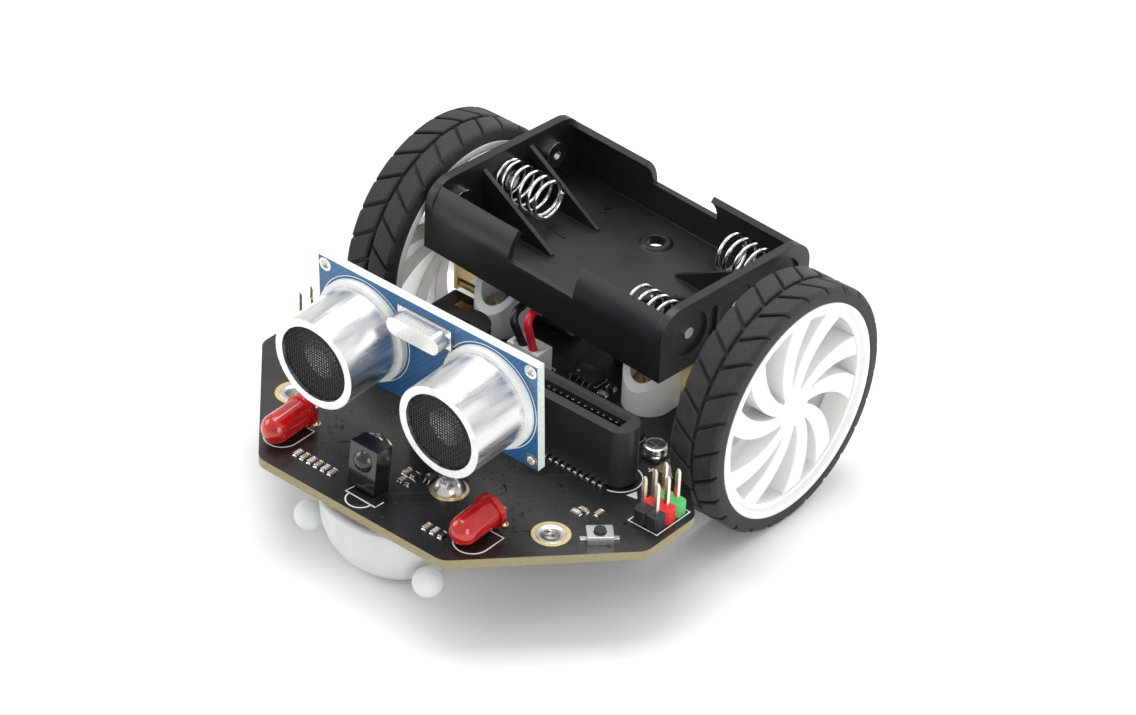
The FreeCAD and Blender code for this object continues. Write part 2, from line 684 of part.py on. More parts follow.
def make_caster_ball():
    """The rolling ball."""
    return Part.makeSphere(BALL_RADIUS, Vector(0, CASTER_Y, BALL_RADIUS))


def make_caster_screws():
    """Two M3 pan-head screws that hold the caster."""
    return [pan_screw(x, CASTER_SCREW_Y, BOARD_TOP, SCREW_M3, 2.65, 2.2, 9.5)
            for x in (-CASTER_SCREW_X, CASTER_SCREW_X)]


# ------------------------------------------------------------------ motor brackets
def make_motor_bracket():
    """The white saddle over the right motor, with a nut pocket in each ear."""
    low_x, high_x = BRACKET_X
    half = MOTOR_HALF_Y + 1.1
    bodies = [box((low_x, -half, BOARD_TOP), (high_x, half, BRACKET_TOP))]
    cuts = [box((low_x - 1, -MOTOR_HALF_Y - 0.1, BOARD_TOP - 1),
                (high_x + 1, MOTOR_HALF_Y + 0.1, AXLE_Z + MOTOR_HALF_Z + 0.1))]
    for side in (-1, 1):
        ear_y = side * EAR_Y
        ys = sorted((0.0, ear_y))
        bodies.append(rod(EAR_RADIUS, (EAR_X, ear_y, BOARD_TOP), (EAR_X, ear_y, BRACKET_TOP)))
        bodies.append(box((low_x, ys[0], BOARD_TOP), (high_x, ys[1], BRACKET_TOP)))
        y_body = side * half
        y_far = side * (EAR_Y + EAR_RADIUS + 0.5)
        slope = [Vector(low_x - 1, y_body, BRACKET_TOP), Vector(low_x - 1, y_far, EAR_FLOOR + 0.9),
                 Vector(low_x - 1, y_far, BRACKET_TOP + 1), Vector(low_x - 1, y_body, BRACKET_TOP + 1)]
        wedge = Part.Face(Part.makePolygon(slope + [slope[0]]))
        cuts.append(wedge.extrude(Vector(high_x - low_x + 2, 0, 0)))
        cuts.append(rod(3.1, (EAR_X, ear_y, EAR_FLOOR), (EAR_X, ear_y, BRACKET_TOP + 1)))
        cuts.append(rod(SCREW_M2 + HOLE_PLAY, (EAR_X, ear_y, BOARD_TOP - 1), (EAR_X, ear_y, EAR_FLOOR + 1)))
    return joined(bodies).cut(cuts)


def ear_places():
    """The four screw places under the motor brackets."""
    return [(x, y) for x in (-EAR_X, EAR_X) for y in (-EAR_Y, EAR_Y)]


def make_bracket_screws():
    """Four M2 screws that come up through the board."""
    return [pan_screw(x, y, BOARD_BOTTOM, SCREW_M2, 1.9, 1.3, EAR_FLOOR + 2.4, up=False)
            for x, y in ear_places()]


def make_bracket_nuts():
    """Four hexagonal nuts in the ears' pockets."""
    return [hex_nut(x, y, EAR_FLOOR, 4.0, 1.6, SCREW_M2 + 0.02) for x, y in ear_places()]


# ------------------------------------------------------------------ motors and gears
def make_motor_can():
    """The flat-sided steel can of the right motor."""
    can = rod(MOTOR_HALF_Y, (MOTOR_BACK_X, 0, AXLE_Z), (GEARBOX_BACK_X, 0, AXLE_Z))
    shaft_hole = rod(0.45, (GEARBOX_BACK_X - 4, 0, AXLE_Z), (GEARBOX_BACK_X + 1, 0, AXLE_Z))
    flats = box((MOTOR_BACK_X, -MOTOR_HALF_Y, AXLE_Z - MOTOR_HALF_Z),
                (GEARBOX_BACK_X, MOTOR_HALF_Y, AXLE_Z + MOTOR_HALF_Z))
    return can.common(flats).cut(shaft_hole)


def make_motor_end_caps():
    """The plastic end cap of each motor, with two solder tags."""
    cap = rod(MOTOR_HALF_Y - 0.6, (MOTOR_BACK_X - 0.9, 0, AXLE_Z), (MOTOR_BACK_X, 0, AXLE_Z))
    flats = box((0, -9, AXLE_Z - MOTOR_HALF_Z + 0.4), (9, 9, AXLE_Z + MOTOR_HALF_Z - 0.4))
    tags = [box((MOTOR_BACK_X - 3.0, y - 0.75, AXLE_Z - 0.2), (MOTOR_BACK_X - 0.5, y + 0.75, AXLE_Z + 0.2))
            for y in (-3.4, 3.4)]
    return both_sides([joined([cap.common(flats)] + tags)])


def pin_place(angle):
    """Where a gear pin stands, seen along the shaft, as Y and Z."""
    turn = math.radians(angle)
    return GEAR_CENTRES * math.cos(turn), AXLE_Z + GEAR_CENTRES * math.sin(turn)


FIRST_PIN = pin_place(FIRST_PIN_ANGLE)
SECOND_PIN = pin_place(SECOND_PIN_ANGLE)


def make_gearbox():
    """Three brass plates, four pillars and two gear pins of the right gearbox."""
    half_y, half_z = MOTOR_HALF_Y, MOTOR_HALF_Z
    plates = []
    for low_x, thick in ((GEARBOX_BACK_X, 0.5), (GEARBOX_FACE_X - 0.8, 0.8)):
        plates.append(box((low_x, -half_y, AXLE_Z - half_z), (low_x + thick, half_y, AXLE_Z + half_z)))
    bars = [rod(0.7, (GEARBOX_BACK_X, y, AXLE_Z + z), (GEARBOX_FACE_X, y, AXLE_Z + z))
            for y in (-5.1, 5.1) for z in (-4.1, 4.1)]
    bars += [rod(GEAR_PIN_RADIUS, (GEARBOX_BACK_X, y, z), (GEARBOX_FACE_X, y, z))
             for y, z in (FIRST_PIN, SECOND_PIN)]
    boss = rod(2.4, (GEARBOX_FACE_X - 0.8, 0, AXLE_Z), (GEARBOX_FACE_X + 0.6, 0, AXLE_Z))
    frame = joined(plates + bars + [boss])
    bush_bore = rod(SHAFT_RADIUS + 0.05, (GEARBOX_FACE_X - 2, 0, AXLE_Z), (GEARBOX_FACE_X + 2, 0, AXLE_Z))
    pinion_hole = rod(0.6, (GEARBOX_BACK_X - 1, 0, AXLE_Z), (GEARBOX_BACK_X + 1, 0, AXLE_Z))
    return frame.cut([bush_bore, pinion_hole])


def gear(teeth, place, low_x, high_x, phase, bore):
    """A spur gear about an axis along X; phase is the angle of a tooth, in degrees."""
    pitch_r = GEAR_MODULE * teeth / 2
    tip_r = pitch_r + 0.8 * GEAR_MODULE
    root_r = pitch_r - 1.1 * GEAR_MODULE
    step = 360.0 / teeth
    points = []
    for i in range(teeth):
        for radius, share in ((root_r, -0.33), (tip_r, -0.12), (tip_r, 0.12), (root_r, 0.33)):
            turn = math.radians(phase + (i + share) * step)
            y, z = place[0] + radius * math.cos(turn), place[1] + radius * math.sin(turn)
            points.append(Vector(low_x, y, z))
    face = Part.Face(Part.makePolygon(points + [points[0]]))
    solid = face.extrude(Vector(high_x - low_x, 0, 0))
    if bore > 0:
        solid = solid.cut(rod(bore, (low_x - 1, place[0], place[1]), (high_x + 1, place[0], place[1])))
    return solid


def meshing_phase(teeth, away_angle):
    """The phase that puts a gap of this gear towards its neighbour's tooth at away_angle."""
    return away_angle + 180.0 / teeth


CENTRE = (0.0, AXLE_Z)
PIN_BORE = GEAR_PIN_RADIUS + 0.04


def angle_between(start, end):
    """The direction from one gear axis to another, in degrees."""
    return math.degrees(math.atan2(end[1] - start[1], end[0] - start[0]))


def make_motor_pinion():
    """The pinion on the motor's own shaft."""
    toothed = gear(SMALL_TEETH, CENTRE, 20.3, 22.2, FIRST_PIN_ANGLE, 0)
    return joined([toothed, rod(0.4, (GEARBOX_BACK_X - 3.9, 0, AXLE_Z), (22.2, 0, AXLE_Z))])


def make_gear_first():
    """The first double gear: its large wheel meets the motor pinion."""
    back = angle_between(FIRST_PIN, CENTRE)
    large = gear(LARGE_TEETH, FIRST_PIN, 20.6, 21.9, meshing_phase(LARGE_TEETH, back), PIN_BORE)
    onward = angle_between(FIRST_PIN, SECOND_PIN)
    small = gear(SMALL_TEETH, FIRST_PIN, 21.8, 24.2, onward, PIN_BORE)
    return joined([large, small])


def make_gear_second():
    """The second double gear: it takes the drive to the output gear."""
    back = angle_between(SECOND_PIN, FIRST_PIN)
    large = gear(LARGE_TEETH, SECOND_PIN, 22.5, 23.8, meshing_phase(LARGE_TEETH, back), PIN_BORE)
    onward = angle_between(SECOND_PIN, CENTRE)
    small = gear(SMALL_TEETH, SECOND_PIN, 23.7, 26.8, onward, PIN_BORE)
    return joined([large, small])


def make_output_shaft():
    """The output gear and the flatted shaft that carries the wheel."""
    back = angle_between(CENTRE, SECOND_PIN)
    toothed = gear(LARGE_TEETH, CENTRE, 24.8, 26.4, meshing_phase(LARGE_TEETH, back), 0)
    shaft = rod(SHAFT_RADIUS, (24.8, 0, AXLE_Z), (SHAFT_END_X, 0, AXLE_Z))
    flat = box((GEARBOX_FACE_X + 0.8, -2, AXLE_Z + 1.0), (SHAFT_END_X + 1, 2, AXLE_Z + 2))
    return joined([toothed, shaft.cut(flat)])


# ------------------------------------------------------------------ wheels
def spoke(angle):
    """One curved spoke, widening from the hub to the rim."""
    inner_r, outer_r = HUB_RADIUS - 0.8, RIM_RADIUS - RIM_WALL + 0.3
    edges_points = []
    for side in (-1, 1):
        side_points = []
        for i in range(5):
            radius = inner_r + (outer_r - inner_r) * i / 4
            half_w = 1.0 + 0.09 * (radius - inner_r)
            turn = math.radians(angle - SPOKE_SWIRL * (radius - 14.5)) + side * half_w / radius
            y, z = radius * math.cos(turn), AXLE_Z + radius * math.sin(turn)
            side_points.append(Vector(SPOKE_BACK_X, y, z))
        edges_points.append(side_points)
    right, left = edges_points
    curves = []
    for side_points in (right, left[::-1]):
        curve = Part.BSplineCurve()
        curve.interpolate(side_points)
        curves.append(curve.toShape())
    outer_end = Part.LineSegment(right[-1], left[-1]).toShape()
    inner_end = Part.LineSegment(left[0], right[0]).toShape()
    wire = Part.Wire([curves[0], outer_end, curves[1], inner_end])
    return Part.Face(wire).extrude(Vector(SPOKE_FACE_X - SPOKE_BACK_X, 0, 0))


def make_rim():
    """The right wheel's white rim: barrel, hub and five pairs of curved spokes."""
    def axis_point(x):
        return (x, 0, AXLE_Z)

    barrel = tube(RIM_RADIUS, RIM_RADIUS - RIM_WALL, axis_point(WHEEL_BACK_X), axis_point(WHEEL_FACE_X))
    web = tube(RIM_RADIUS - 0.5, 16.4, axis_point(SPOKE_BACK_X), axis_point(SPOKE_FACE_X + 0.2))
    hub = rod(HUB_RADIUS, axis_point(HUB_BACK_X), axis_point(SPOKE_FACE_X))
    spokes = []
    for pair in range(SPOKE_PAIRS):
        for side in (-1, 1):
            spokes.append(spoke(SPOKE_FIRST - 360.0 / SPOKE_PAIRS * pair + side * SPOKE_SPREAD))
    rim = joined([barrel, web, hub] + spokes)
    bore = rod(SHAFT_RADIUS + 0.02, axis_point(HUB_BACK_X - 1), axis_point(SHAFT_END_X + 0.1))
    flat = box((HUB_BACK_X - 1, -2, AXLE_Z + 1.02), (SHAFT_END_X + 1, 2, AXLE_Z + 2))
    return rim.cut(bore.cut(flat))


def make_tyre():
    """The right tyre: a rubber band with bevelled shoulders."""
    shoulder = 0.8
    profile = [(RIM_RADIUS, WHEEL_BACK_X), (WHEEL_RADIUS - shoulder, WHEEL_BACK_X),
               (WHEEL_RADIUS, WHEEL_BACK_X + shoulder), (WHEEL_RADIUS, WHEEL_FACE_X - shoulder),
               (WHEEL_RADIUS - shoulder, WHEEL_FACE_X), (RIM_RADIUS, WHEEL_FACE_X)]
    ring = [Vector(x, 0, AXLE_Z + radius) for radius, x in profile]
    face = Part.Face(Part.makePolygon(ring + [ring[0]]))
    return face.revolve(Vector(0, 0, AXLE_Z), X_AXIS, 360)


def half_turned(shape):
    """The same moulding on the left: turned round, not mirrored."""
    copy = shape.copy()
    copy.rotate(Vector(0, 0, 0), Z_AXIS, 180)
    return copy


# ------------------------------------------------------------------ battery holder
def placed_on_holder(shapes):
    """Moves pieces from the holder's own frame, centred and square, to where it is stuck."""
    result = []
    for shape in shapes:
        copy = shape.copy()
        copy.rotate(Vector(0, 0, 0), Z_AXIS, HOLDER_TURN)
        copy.translate(HOLDER_CENTRE)
        result.append(copy)
    return result


def side_wall(side):
    """A long wall: low in the middle, curling in over the cells at both ends."""
    y_out, y_in = side * HOLDER_HALF_W, side * (HOLDER_HALF_W - HOLDER_WALL)
    ys = sorted((y_out, y_in))
    low_wall = box((-HOLDER_HALF_L, ys[0], HOLDER_BOTTOM), (HOLDER_HALF_L, ys[1], CELL_AXIS_Z))
    turn = math.radians(CURL_ANGLE)
    y_c = side * CELL_PITCH

    def on_curl(radius, angle):
        return Vector(0, y_c + side * radius * math.cos(angle), CELL_AXIS_Z + radius * math.sin(angle))

    inner_r = CURL_RADIUS - HOLDER_WALL
    outer = [on_curl(CURL_RADIUS, angle) for angle in (0, turn / 2, turn)]
    inner = [on_curl(inner_r, angle) for angle in (turn, turn / 2, 0)]
    edges = [Part.Arc(*outer).toShape(), Part.LineSegment(outer[-1], inner[0]).toShape(),
             Part.Arc(*inner).toShape(), Part.LineSegment(inner[-1], outer[0]).toShape()]
    section = Part.Face(Part.Wire(edges))
    curls = []
    for low_x in (-HOLDER_HALF_L, GAP_HALF):
        curl = section.extrude(Vector(HOLDER_HALF_L - GAP_HALF, 0, 0))
        curl.translate(Vector(low_x, 0, 0))
        curls.append(curl)
    return [low_wall] + curls


def end_wall(side):
    """A short wall with rounded top corners, hollowed outside where the contacts are riveted."""
    corner_r = 4.6
    half_w = HOLDER_HALF_W
    y_run, z_run = half_w - corner_r, HOLDER_TOP - corner_r
    diagonal = corner_r * math.sin(math.radians(45))
    corners = []
    for y_side in (1, -1):
        corners.append([Vector(0, y_side * half_w, z_run),
                        Vector(0, y_side * (y_run + diagonal), z_run + diagonal),
                        Vector(0, y_side * y_run, HOLDER_TOP)])
    low_right, low_left = Vector(0, half_w, HOLDER_BOTTOM), Vector(0, -half_w, HOLDER_BOTTOM)
    edges = [Part.LineSegment(low_left, low_right).toShape(),
             Part.LineSegment(low_right, corners[0][0]).toShape(),
             Part.Arc(*corners[0]).toShape(),
             Part.LineSegment(corners[0][2], corners[1][2]).toShape(),
             Part.Arc(*corners[1][::-1]).toShape(),
             Part.LineSegment(corners[1][0], low_left).toShape()]
    wall = Part.Face(Part.Wire(edges)).extrude(Vector(HOLDER_END, 0, 0))
    wall.translate(Vector(HOLDER_HALF_L - HOLDER_END, 0, 0))
    outside = HOLDER_HALF_L - 0.5
    cell_ys = (-CELL_PITCH, 0, CELL_PITCH)
    cuts = [rod(4.0, (outside, y, CELL_AXIS_Z), (outside + 1, y, CELL_AXIS_Z)) for y in cell_ys]
    cuts += [box((outside, y - 0.9, CELL_AXIS_Z - 2.6), (outside + 1, y + 0.9, CELL_AXIS_Z + 2.6))
             for y in (-CELL_PITCH / 2, CELL_PITCH / 2)]
    cuts += [rod(1.0, (outside - 2, y, CELL_AXIS_Z), (outside + 1, y, CELL_AXIS_Z)) for y in cell_ys]
    wall = wall.cut(cuts)
    return [wall if side > 0 else mirrored(wall)]


def divider(side, y):
    """A thin triangular rib between two cells, sloping from an end wall to the floor."""
    x_wall, x_toe = HOLDER_HALF_L - HOLDER_END, 8.8
    floor_z = HOLDER_BOTTOM + HOLDER_FLOOR
    outline = [Vector(x_wall + 0.2, y - 0.4, floor_z - 0.2), Vector(x_toe, y - 0.4, floor_z - 0.2),
               Vector(x_toe, y - 0.4, floor_z + 0.4), Vector(x_wall + 0.2, y - 0.4, HOLDER_TOP - 1.6)]
    rib = Part.Face(Part.makePolygon(outline + [outline[0]])).extrude(Vector(0, 0.8, 0))
    return rib if side > 0 else mirrored(rib)


FLOOR_HOLE_Y = 9.9


def make_battery_holder():
    """The open holder for three cells side by side."""
    floor_top = HOLDER_BOTTOM + HOLDER_FLOOR
    floor = box((-HOLDER_HALF_L, -HOLDER_HALF_W, HOLDER_BOTTOM), (HOLDER_HALF_L, HOLDER_HALF_W, floor_top))
    pieces = [floor]
    for side in (-1, 1):
        pieces += side_wall(side)
        pieces += end_wall(side)
        pieces += [divider(side, y) for y in (-CELL_PITCH / 2, CELL_PITCH / 2)]
    pieces.append(Part.makeCone(2.9, 2.4, 0.5, Vector(0, FLOOR_HOLE_Y, floor_top)))
    holder = joined(pieces)
    holder = holder.cut(rod(1.6, (0, FLOOR_HOLE_Y, HOLDER_BOTTOM - 1), (0, FLOOR_HOLE_Y, floor_top + 1)))
    holder = placed_on_holder([holder])[0]
    lead_holes = []
    for corners in LEAD_CORNERS.values():
        inside, below = corners[:2]
        way = (below - inside).normalize()
        lead_holes.append(rod(LEAD_RADIUS + 0.15, inside - way * 2, inside + way * 3))
    return holder.cut(lead_holes)


CONTACT_KINDS = {-1: ("button", "spring", "button"), 1: ("spring", "button", "spring")}
SPRING_OUTER_R = 3.62
SPRING_INNER_R = 2.98
SPRING_LENGTH = 9.6


def contact_places():
    """Every contact as its end of the holder, its Y and its kind."""
    return [(side, y, kind) for side, kinds in CONTACT_KINDS.items()
            for y, kind in zip((-CELL_PITCH, 0, CELL_PITCH), kinds)]


def make_battery_contacts():
    """Rivets through the end walls: wide flat buttons, and small heads that hold the springs."""
    pieces = []
    inner_x = HOLDER_HALF_L - HOLDER_END
    for side, y, kind in contact_places():
        head_r, head_h = (2.4, 0.9) if kind == "button" else (1.7, 1.3)
        head = rod(head_r, (inner_x, y, CELL_AXIS_Z), (inner_x - head_h, y, CELL_AXIS_Z))
        shank = rod(0.97, (inner_x - head_h, y, CELL_AXIS_Z), (HOLDER_HALF_L - 0.1, y, CELL_AXIS_Z))
        dimple = rod(0.8, (inner_x - head_h - 1, y, CELL_AXIS_Z), (inner_x - head_h + 0.5, y, CELL_AXIS_Z))
        rivet = joined([head, shank]).cut(dimple)
        pieces.append(rivet if side > 0 else mirrored(rivet))
    return placed_on_holder(pieces)


def make_battery_springs():
    """Three springs at their free length, each as the sleeve its coils fill."""
    pieces = []
    wall_x = HOLDER_HALF_L - HOLDER_END - 0.05
    for side, y, kind in contact_places():
        if kind == "spring":
            sleeve = tube(SPRING_OUTER_R, SPRING_INNER_R, (wall_x, y, CELL_AXIS_Z),
                          (wall_x - SPRING_LENGTH, y, CELL_AXIS_Z))
            pieces.append(sleeve if side > 0 else mirrored(sleeve))
    return placed_on_holder(pieces)


def make_foam_pads():
    """Two sticky foam pads between the brackets and the holder."""
    low_x, high_x = BRACKET_X
    return both_sides([box((low_x + 0.4, -6.6, BRACKET_TOP), (high_x - 0.4, 6.6, HOLDER_BOTTOM))])


# ------------------------------------------------------------------ write every node
def main():
    os.makedirs("parts", exist_ok=True)
    save("main_board", make_main_board())
    save("threaded_inserts", make_threaded_inserts())
    save("edge_connector", make_edge_connector())
    save("edge_contacts", make_edge_contacts())
    save("sonar_board", make_sonar_board())
    save("sonar_cans", make_sonar_cans())
    save("sonar_meshes", make_sonar_meshes())
    save("sonar_bases", make_sonar_bases())
    save("sonar_crystal", make_sonar_crystal())
    save("sonar_pins", make_sonar_pins())
    save("sonar_socket", make_sonar_socket())
    save("led_lamps", make_led_lamps())
    save("infrared_receiver", make_infrared_receiver())
    save("component_leads", make_component_leads())
    for name, y in zip(("ground", "power", "signal"), SERVO_ROWS_Y):
        save("servo_base_%s" % name, make_servo_base(y))
    save("servo_pins", make_servo_pins())
    save("button_frame", make_button_frame())
    save("button_cap", make_button_cap())
    save("power_switch_case", make_power_switch_case())
    save("power_switch_slider", make_power_switch_slider())
    save("battery_socket", make_battery_socket())
    save("battery_plug", make_battery_plug())
    for name, corners in LEAD_CORNERS.items():
        save("battery_lead_%s" % name, make_lead(corners))
    save("battery_holder", make_battery_holder())
    save("battery_contacts", make_battery_contacts())
    save("battery_springs", make_battery_springs())
    save("foam_pads", make_foam_pads())
    save("buzzer", make_buzzer())
    save("storage_capacitor", make_storage_capacitor())
    save("small_parts", make_small_parts())
    save("chips", make_chips())
    save("line_sensors", make_line_sensors())
    save("colour_lamps", make_colour_lamps())
    save("caster_housing", make_caster_housing())
    save("caster_ball", make_caster_ball())
    save("caster_screws", make_caster_screws())
    save("bracket_screws", make_bracket_screws())
    save("bracket_nuts", make_bracket_nuts())
    save("motor_end_caps", make_motor_end_caps())
    drive = {"motor_bracket": make_motor_bracket(), "motor_can": make_motor_can(), "gearbox": make_gearbox(),
             "motor_pinion": make_motor_pinion(), "gear_first": make_gear_first(),
             "gear_second": make_gear_second(), "output_shaft": make_output_shaft()}
    for name, shape in drive.items():
        save(name + "_right", shape)
        save(name + "_left", mirrored(shape))
    for name, shape in (("rim", make_rim()), ("tyre", make_tyre())):
        save(name + "_right", shape)
        save(name + "_left", half_turned(shape))


main()
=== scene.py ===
import json
import math
import random

import bmesh
import bpy
from mathutils import Matrix, Vector


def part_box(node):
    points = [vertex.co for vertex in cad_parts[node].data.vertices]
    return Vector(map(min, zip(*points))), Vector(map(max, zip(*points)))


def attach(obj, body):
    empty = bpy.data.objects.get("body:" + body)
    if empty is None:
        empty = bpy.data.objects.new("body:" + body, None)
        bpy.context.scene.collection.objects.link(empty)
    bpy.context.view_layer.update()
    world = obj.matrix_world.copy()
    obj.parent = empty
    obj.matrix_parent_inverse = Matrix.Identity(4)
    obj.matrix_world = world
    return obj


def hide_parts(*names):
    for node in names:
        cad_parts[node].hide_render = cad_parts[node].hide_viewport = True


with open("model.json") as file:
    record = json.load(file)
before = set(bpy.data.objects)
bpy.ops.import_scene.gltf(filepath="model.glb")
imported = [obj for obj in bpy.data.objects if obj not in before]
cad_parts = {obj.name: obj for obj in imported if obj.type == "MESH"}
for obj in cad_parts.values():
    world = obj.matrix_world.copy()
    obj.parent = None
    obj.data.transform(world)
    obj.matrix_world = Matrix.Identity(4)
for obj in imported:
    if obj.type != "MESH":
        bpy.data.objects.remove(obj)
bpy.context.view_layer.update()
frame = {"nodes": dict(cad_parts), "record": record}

MM = 0.001
CHASSIS = "chassis"


def node_box(node):
    """A CAD node's lowest and highest corners, in millimetres from the axle."""
    low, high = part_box(node)
    return low / MM - ORIGIN, high / MM - ORIGIN


def node_middle(node):
    """The middle of a CAD node's box, in millimetres from the axle."""
    low, high = node_box(node)
    return (low + high) / 2


ORIGIN = Vector((0, sum(corner.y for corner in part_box("tyre_right")) / 2 / MM, 0))
BOARD_TOP = node_box("main_board")[1].z
FRONT_Y = node_box("main_board")[0].y
AXLE_Z = node_middle("tyre_right").z
WHEEL_BACK_X, WHEEL_FACE_X = (corner.x for corner in node_box("tyre_right"))
WHEEL_RADIUS = node_box("tyre_right")[1].z - AXLE_Z


# ------------------------------------------------------------------ mesh building
class Shape:
    """A mesh under construction: points, faces, and the number of each face's material."""

    def __init__(self):
        self.points = []
        self.faces = []
        self.kinds = []

    def add(self, points, faces, kind=0):
        """Adds points, and faces that count from the first of them."""
        start = len(self.points)
        self.points += [Vector(point) for point in points]
        self.faces += [[start + i for i in face] for face in faces]
        self.kinds += [kind] * len(faces)

    def loft(self, rings, kind=0, capped=True, looped=False):
        """Joins rings of equal length into a skin, with a face at each end or joined round."""
        count = len(rings[0])
        points = [point for ring in rings for point in ring]
        faces = []
        pairs = [(i, i + 1) for i in range(len(rings) - 1)]
        if looped:
            pairs.append((len(rings) - 1, 0))
        for i, j in pairs:
            for k in range(count):
                n = (k + 1) % count
                faces.append((i * count + k, i * count + n, j * count + n, j * count + k))
        if capped and not looped:
            faces.append(tuple(reversed(range(count))))
            faces.append(tuple((len(rings) - 1) * count + k for k in range(count)))
        self.add(points, faces, kind)

    def tube(self, path, radius, sides=8, kind=0):
        """A round wire along a path; its frame is carried from point to point without twisting."""
        path = [Vector(point) for point in path]
        heading = (path[1] - path[0]).normalized()
        across = heading.orthogonal().normalized()
        rings = []
        for i, point in enumerate(path):
            ahead = path[min(i + 1, len(path) - 1)] - path[max(i - 1, 0)]
            across = (across - ahead * (across.dot(ahead) / ahead.length_squared)).normalized()
            other = ahead.normalized().cross(across)
            rings.append([point + (across * math.cos(a) + other * math.sin(a)) * radius
                          for a in circle_angles(sides)])
        self.loft(rings, kind)

    def lathe(self, profile, foot, axis, sides=32, kind=0, closed=False):
        """A turned body: distances along the axis and radii, from a foot point."""
        axis = Vector(axis).normalized()
        across = axis.orthogonal().normalized()
        other = axis.cross(across)
        rings = []
        for along, radius in profile:
            middle = Vector(foot) + axis * along
            rings.append([middle + (across * math.cos(a) + other * math.sin(a)) * radius
                          for a in circle_angles(sides)])
        self.loft(rings, kind, capped=not closed, looped=closed)

    def prism(self, outline, low, high, chamfer=0.0, kind=0):
        """A plate of the given outline, its upper edge broken by a chamfer."""
        rings = [[(x, y, low) for x, y in outline]]
        if chamfer:
            rings.append([(x, y, high - chamfer) for x, y in outline])
            rings.append([(x, y, high) for x, y in inset(outline, chamfer)])
        else:
            rings.append([(x, y, high) for x, y in outline])
        self.loft(rings, kind)

    def ribbon(self, points, width, low, high, closed=False, kind=0):
        """A flat strip along a line of points, as printed or etched on a board."""
        count = len(points)
        rings = []
        for i, point in enumerate(points):
            before = points[i - 1] if closed or i else point
            after = points[(i + 1) % count] if closed or i < count - 1 else point
            way = Vector((after[0] - before[0], after[1] - before[1])).normalized()
            side = Vector((-way.y, way.x)) * (width / 2)
            left = (point[0] + side.x, point[1] + side.y)
            right = (point[0] - side.x, point[1] - side.y)
            rings.append([(*left, low), (*left, high), (*right, high), (*right, low)])
        self.loft(rings, kind, capped=not closed, looped=closed)

    def washer(self, x, y, inner, outer, low, high, kind=0, sides=36):
        """A flat ring lying on the board."""
        profile = [(low, inner), (low, outer), (high, outer), (high, inner)]
        self.lathe(profile, (x, y, 0), (0, 0, 1), sides, kind, closed=True)

    def turned(self, change):
        """Moves every point made so far by a function."""
        self.points = [Vector(change(point)) for point in self.points]

    def join(self, other):
        """Takes in another shape's points and faces."""
        start = len(self.points)
        self.points += other.points
        self.faces += [[start + i for i in face] for face in other.faces]
        self.kinds += other.kinds


def circle_angles(sides):
    """Equal steps round a circle."""
    return [2 * math.pi * i / sides for i in range(sides)]


def inset(outline, amount):
    """An outline drawn in towards its middle by about the same amount everywhere."""
    middle_x = sum(x for x, _ in outline) / len(outline)
    middle_y = sum(y for _, y in outline) / len(outline)
    half_x = max(abs(x - middle_x) for x, _ in outline)
    half_y = max(abs(y - middle_y) for _, y in outline)
    return [(middle_x + (x - middle_x) * (1 - amount / half_x),
             middle_y + (y - middle_y) * (1 - amount / half_y)) for x, y in outline]


def cut_corners(x, y, half_x, half_y, cut):
    """A rectangle with its four corners cut off."""
    return [(x + half_x, y - half_y + cut), (x + half_x, y + half_y - cut),
            (x + half_x - cut, y + half_y), (x - half_x + cut, y + half_y),
            (x - half_x, y + half_y - cut), (x - half_x, y - half_y + cut),
            (x - half_x + cut, y - half_y), (x + half_x - cut, y - half_y)]


def arc(x, y, radius, start, end, steps=16):
    """Points along an arc, its angles in degrees."""
    angles = [math.radians(start + (end - start) * i / steps) for i in range(steps + 1)]
    return [(x + radius * math.cos(a), y + radius * math.sin(a)) for a in angles]


def piece(name, shape, body, materials, replaced=(), crease=38):
    """Makes a visible piece of a shape and lets it ride on a body."""
    mesh = bpy.data.meshes.new(name)
    mesh.from_pydata([(point + ORIGIN) * MM for point in shape.points], [], shape.faces)
    for material in materials:
        mesh.materials.append(material)
    mesh.polygons.foreach_set("material_index", shape.kinds)
    work = bmesh.new()
    work.from_mesh(mesh)
    bmesh.ops.recalc_face_normals(work, faces=work.faces)
    work.to_mesh(mesh)
    work.free()
    mesh.polygons.foreach_set("use_smooth", [True] * len(mesh.polygons))
    mesh.set_sharp_from_angle(angle=math.radians(crease))
    made = bpy.data.objects.new(name, mesh)
    bpy.context.scene.collection.objects.link(made)
    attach(made, body)
    if replaced:
        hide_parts(*replaced)
    return made


# ------------------------------------------------------------------ materials
BEVEL_SAMPLES = 6
SMUDGE_SIZE = 9.0
HATCH_TURN = math.radians(45)
# a wave texture of scale 1 repeats after this many units
WAVE_PERIOD = 0.314
# how squarely a surface has to face along the board's normal to wear the mask
FACE_SLOPE = 0.6


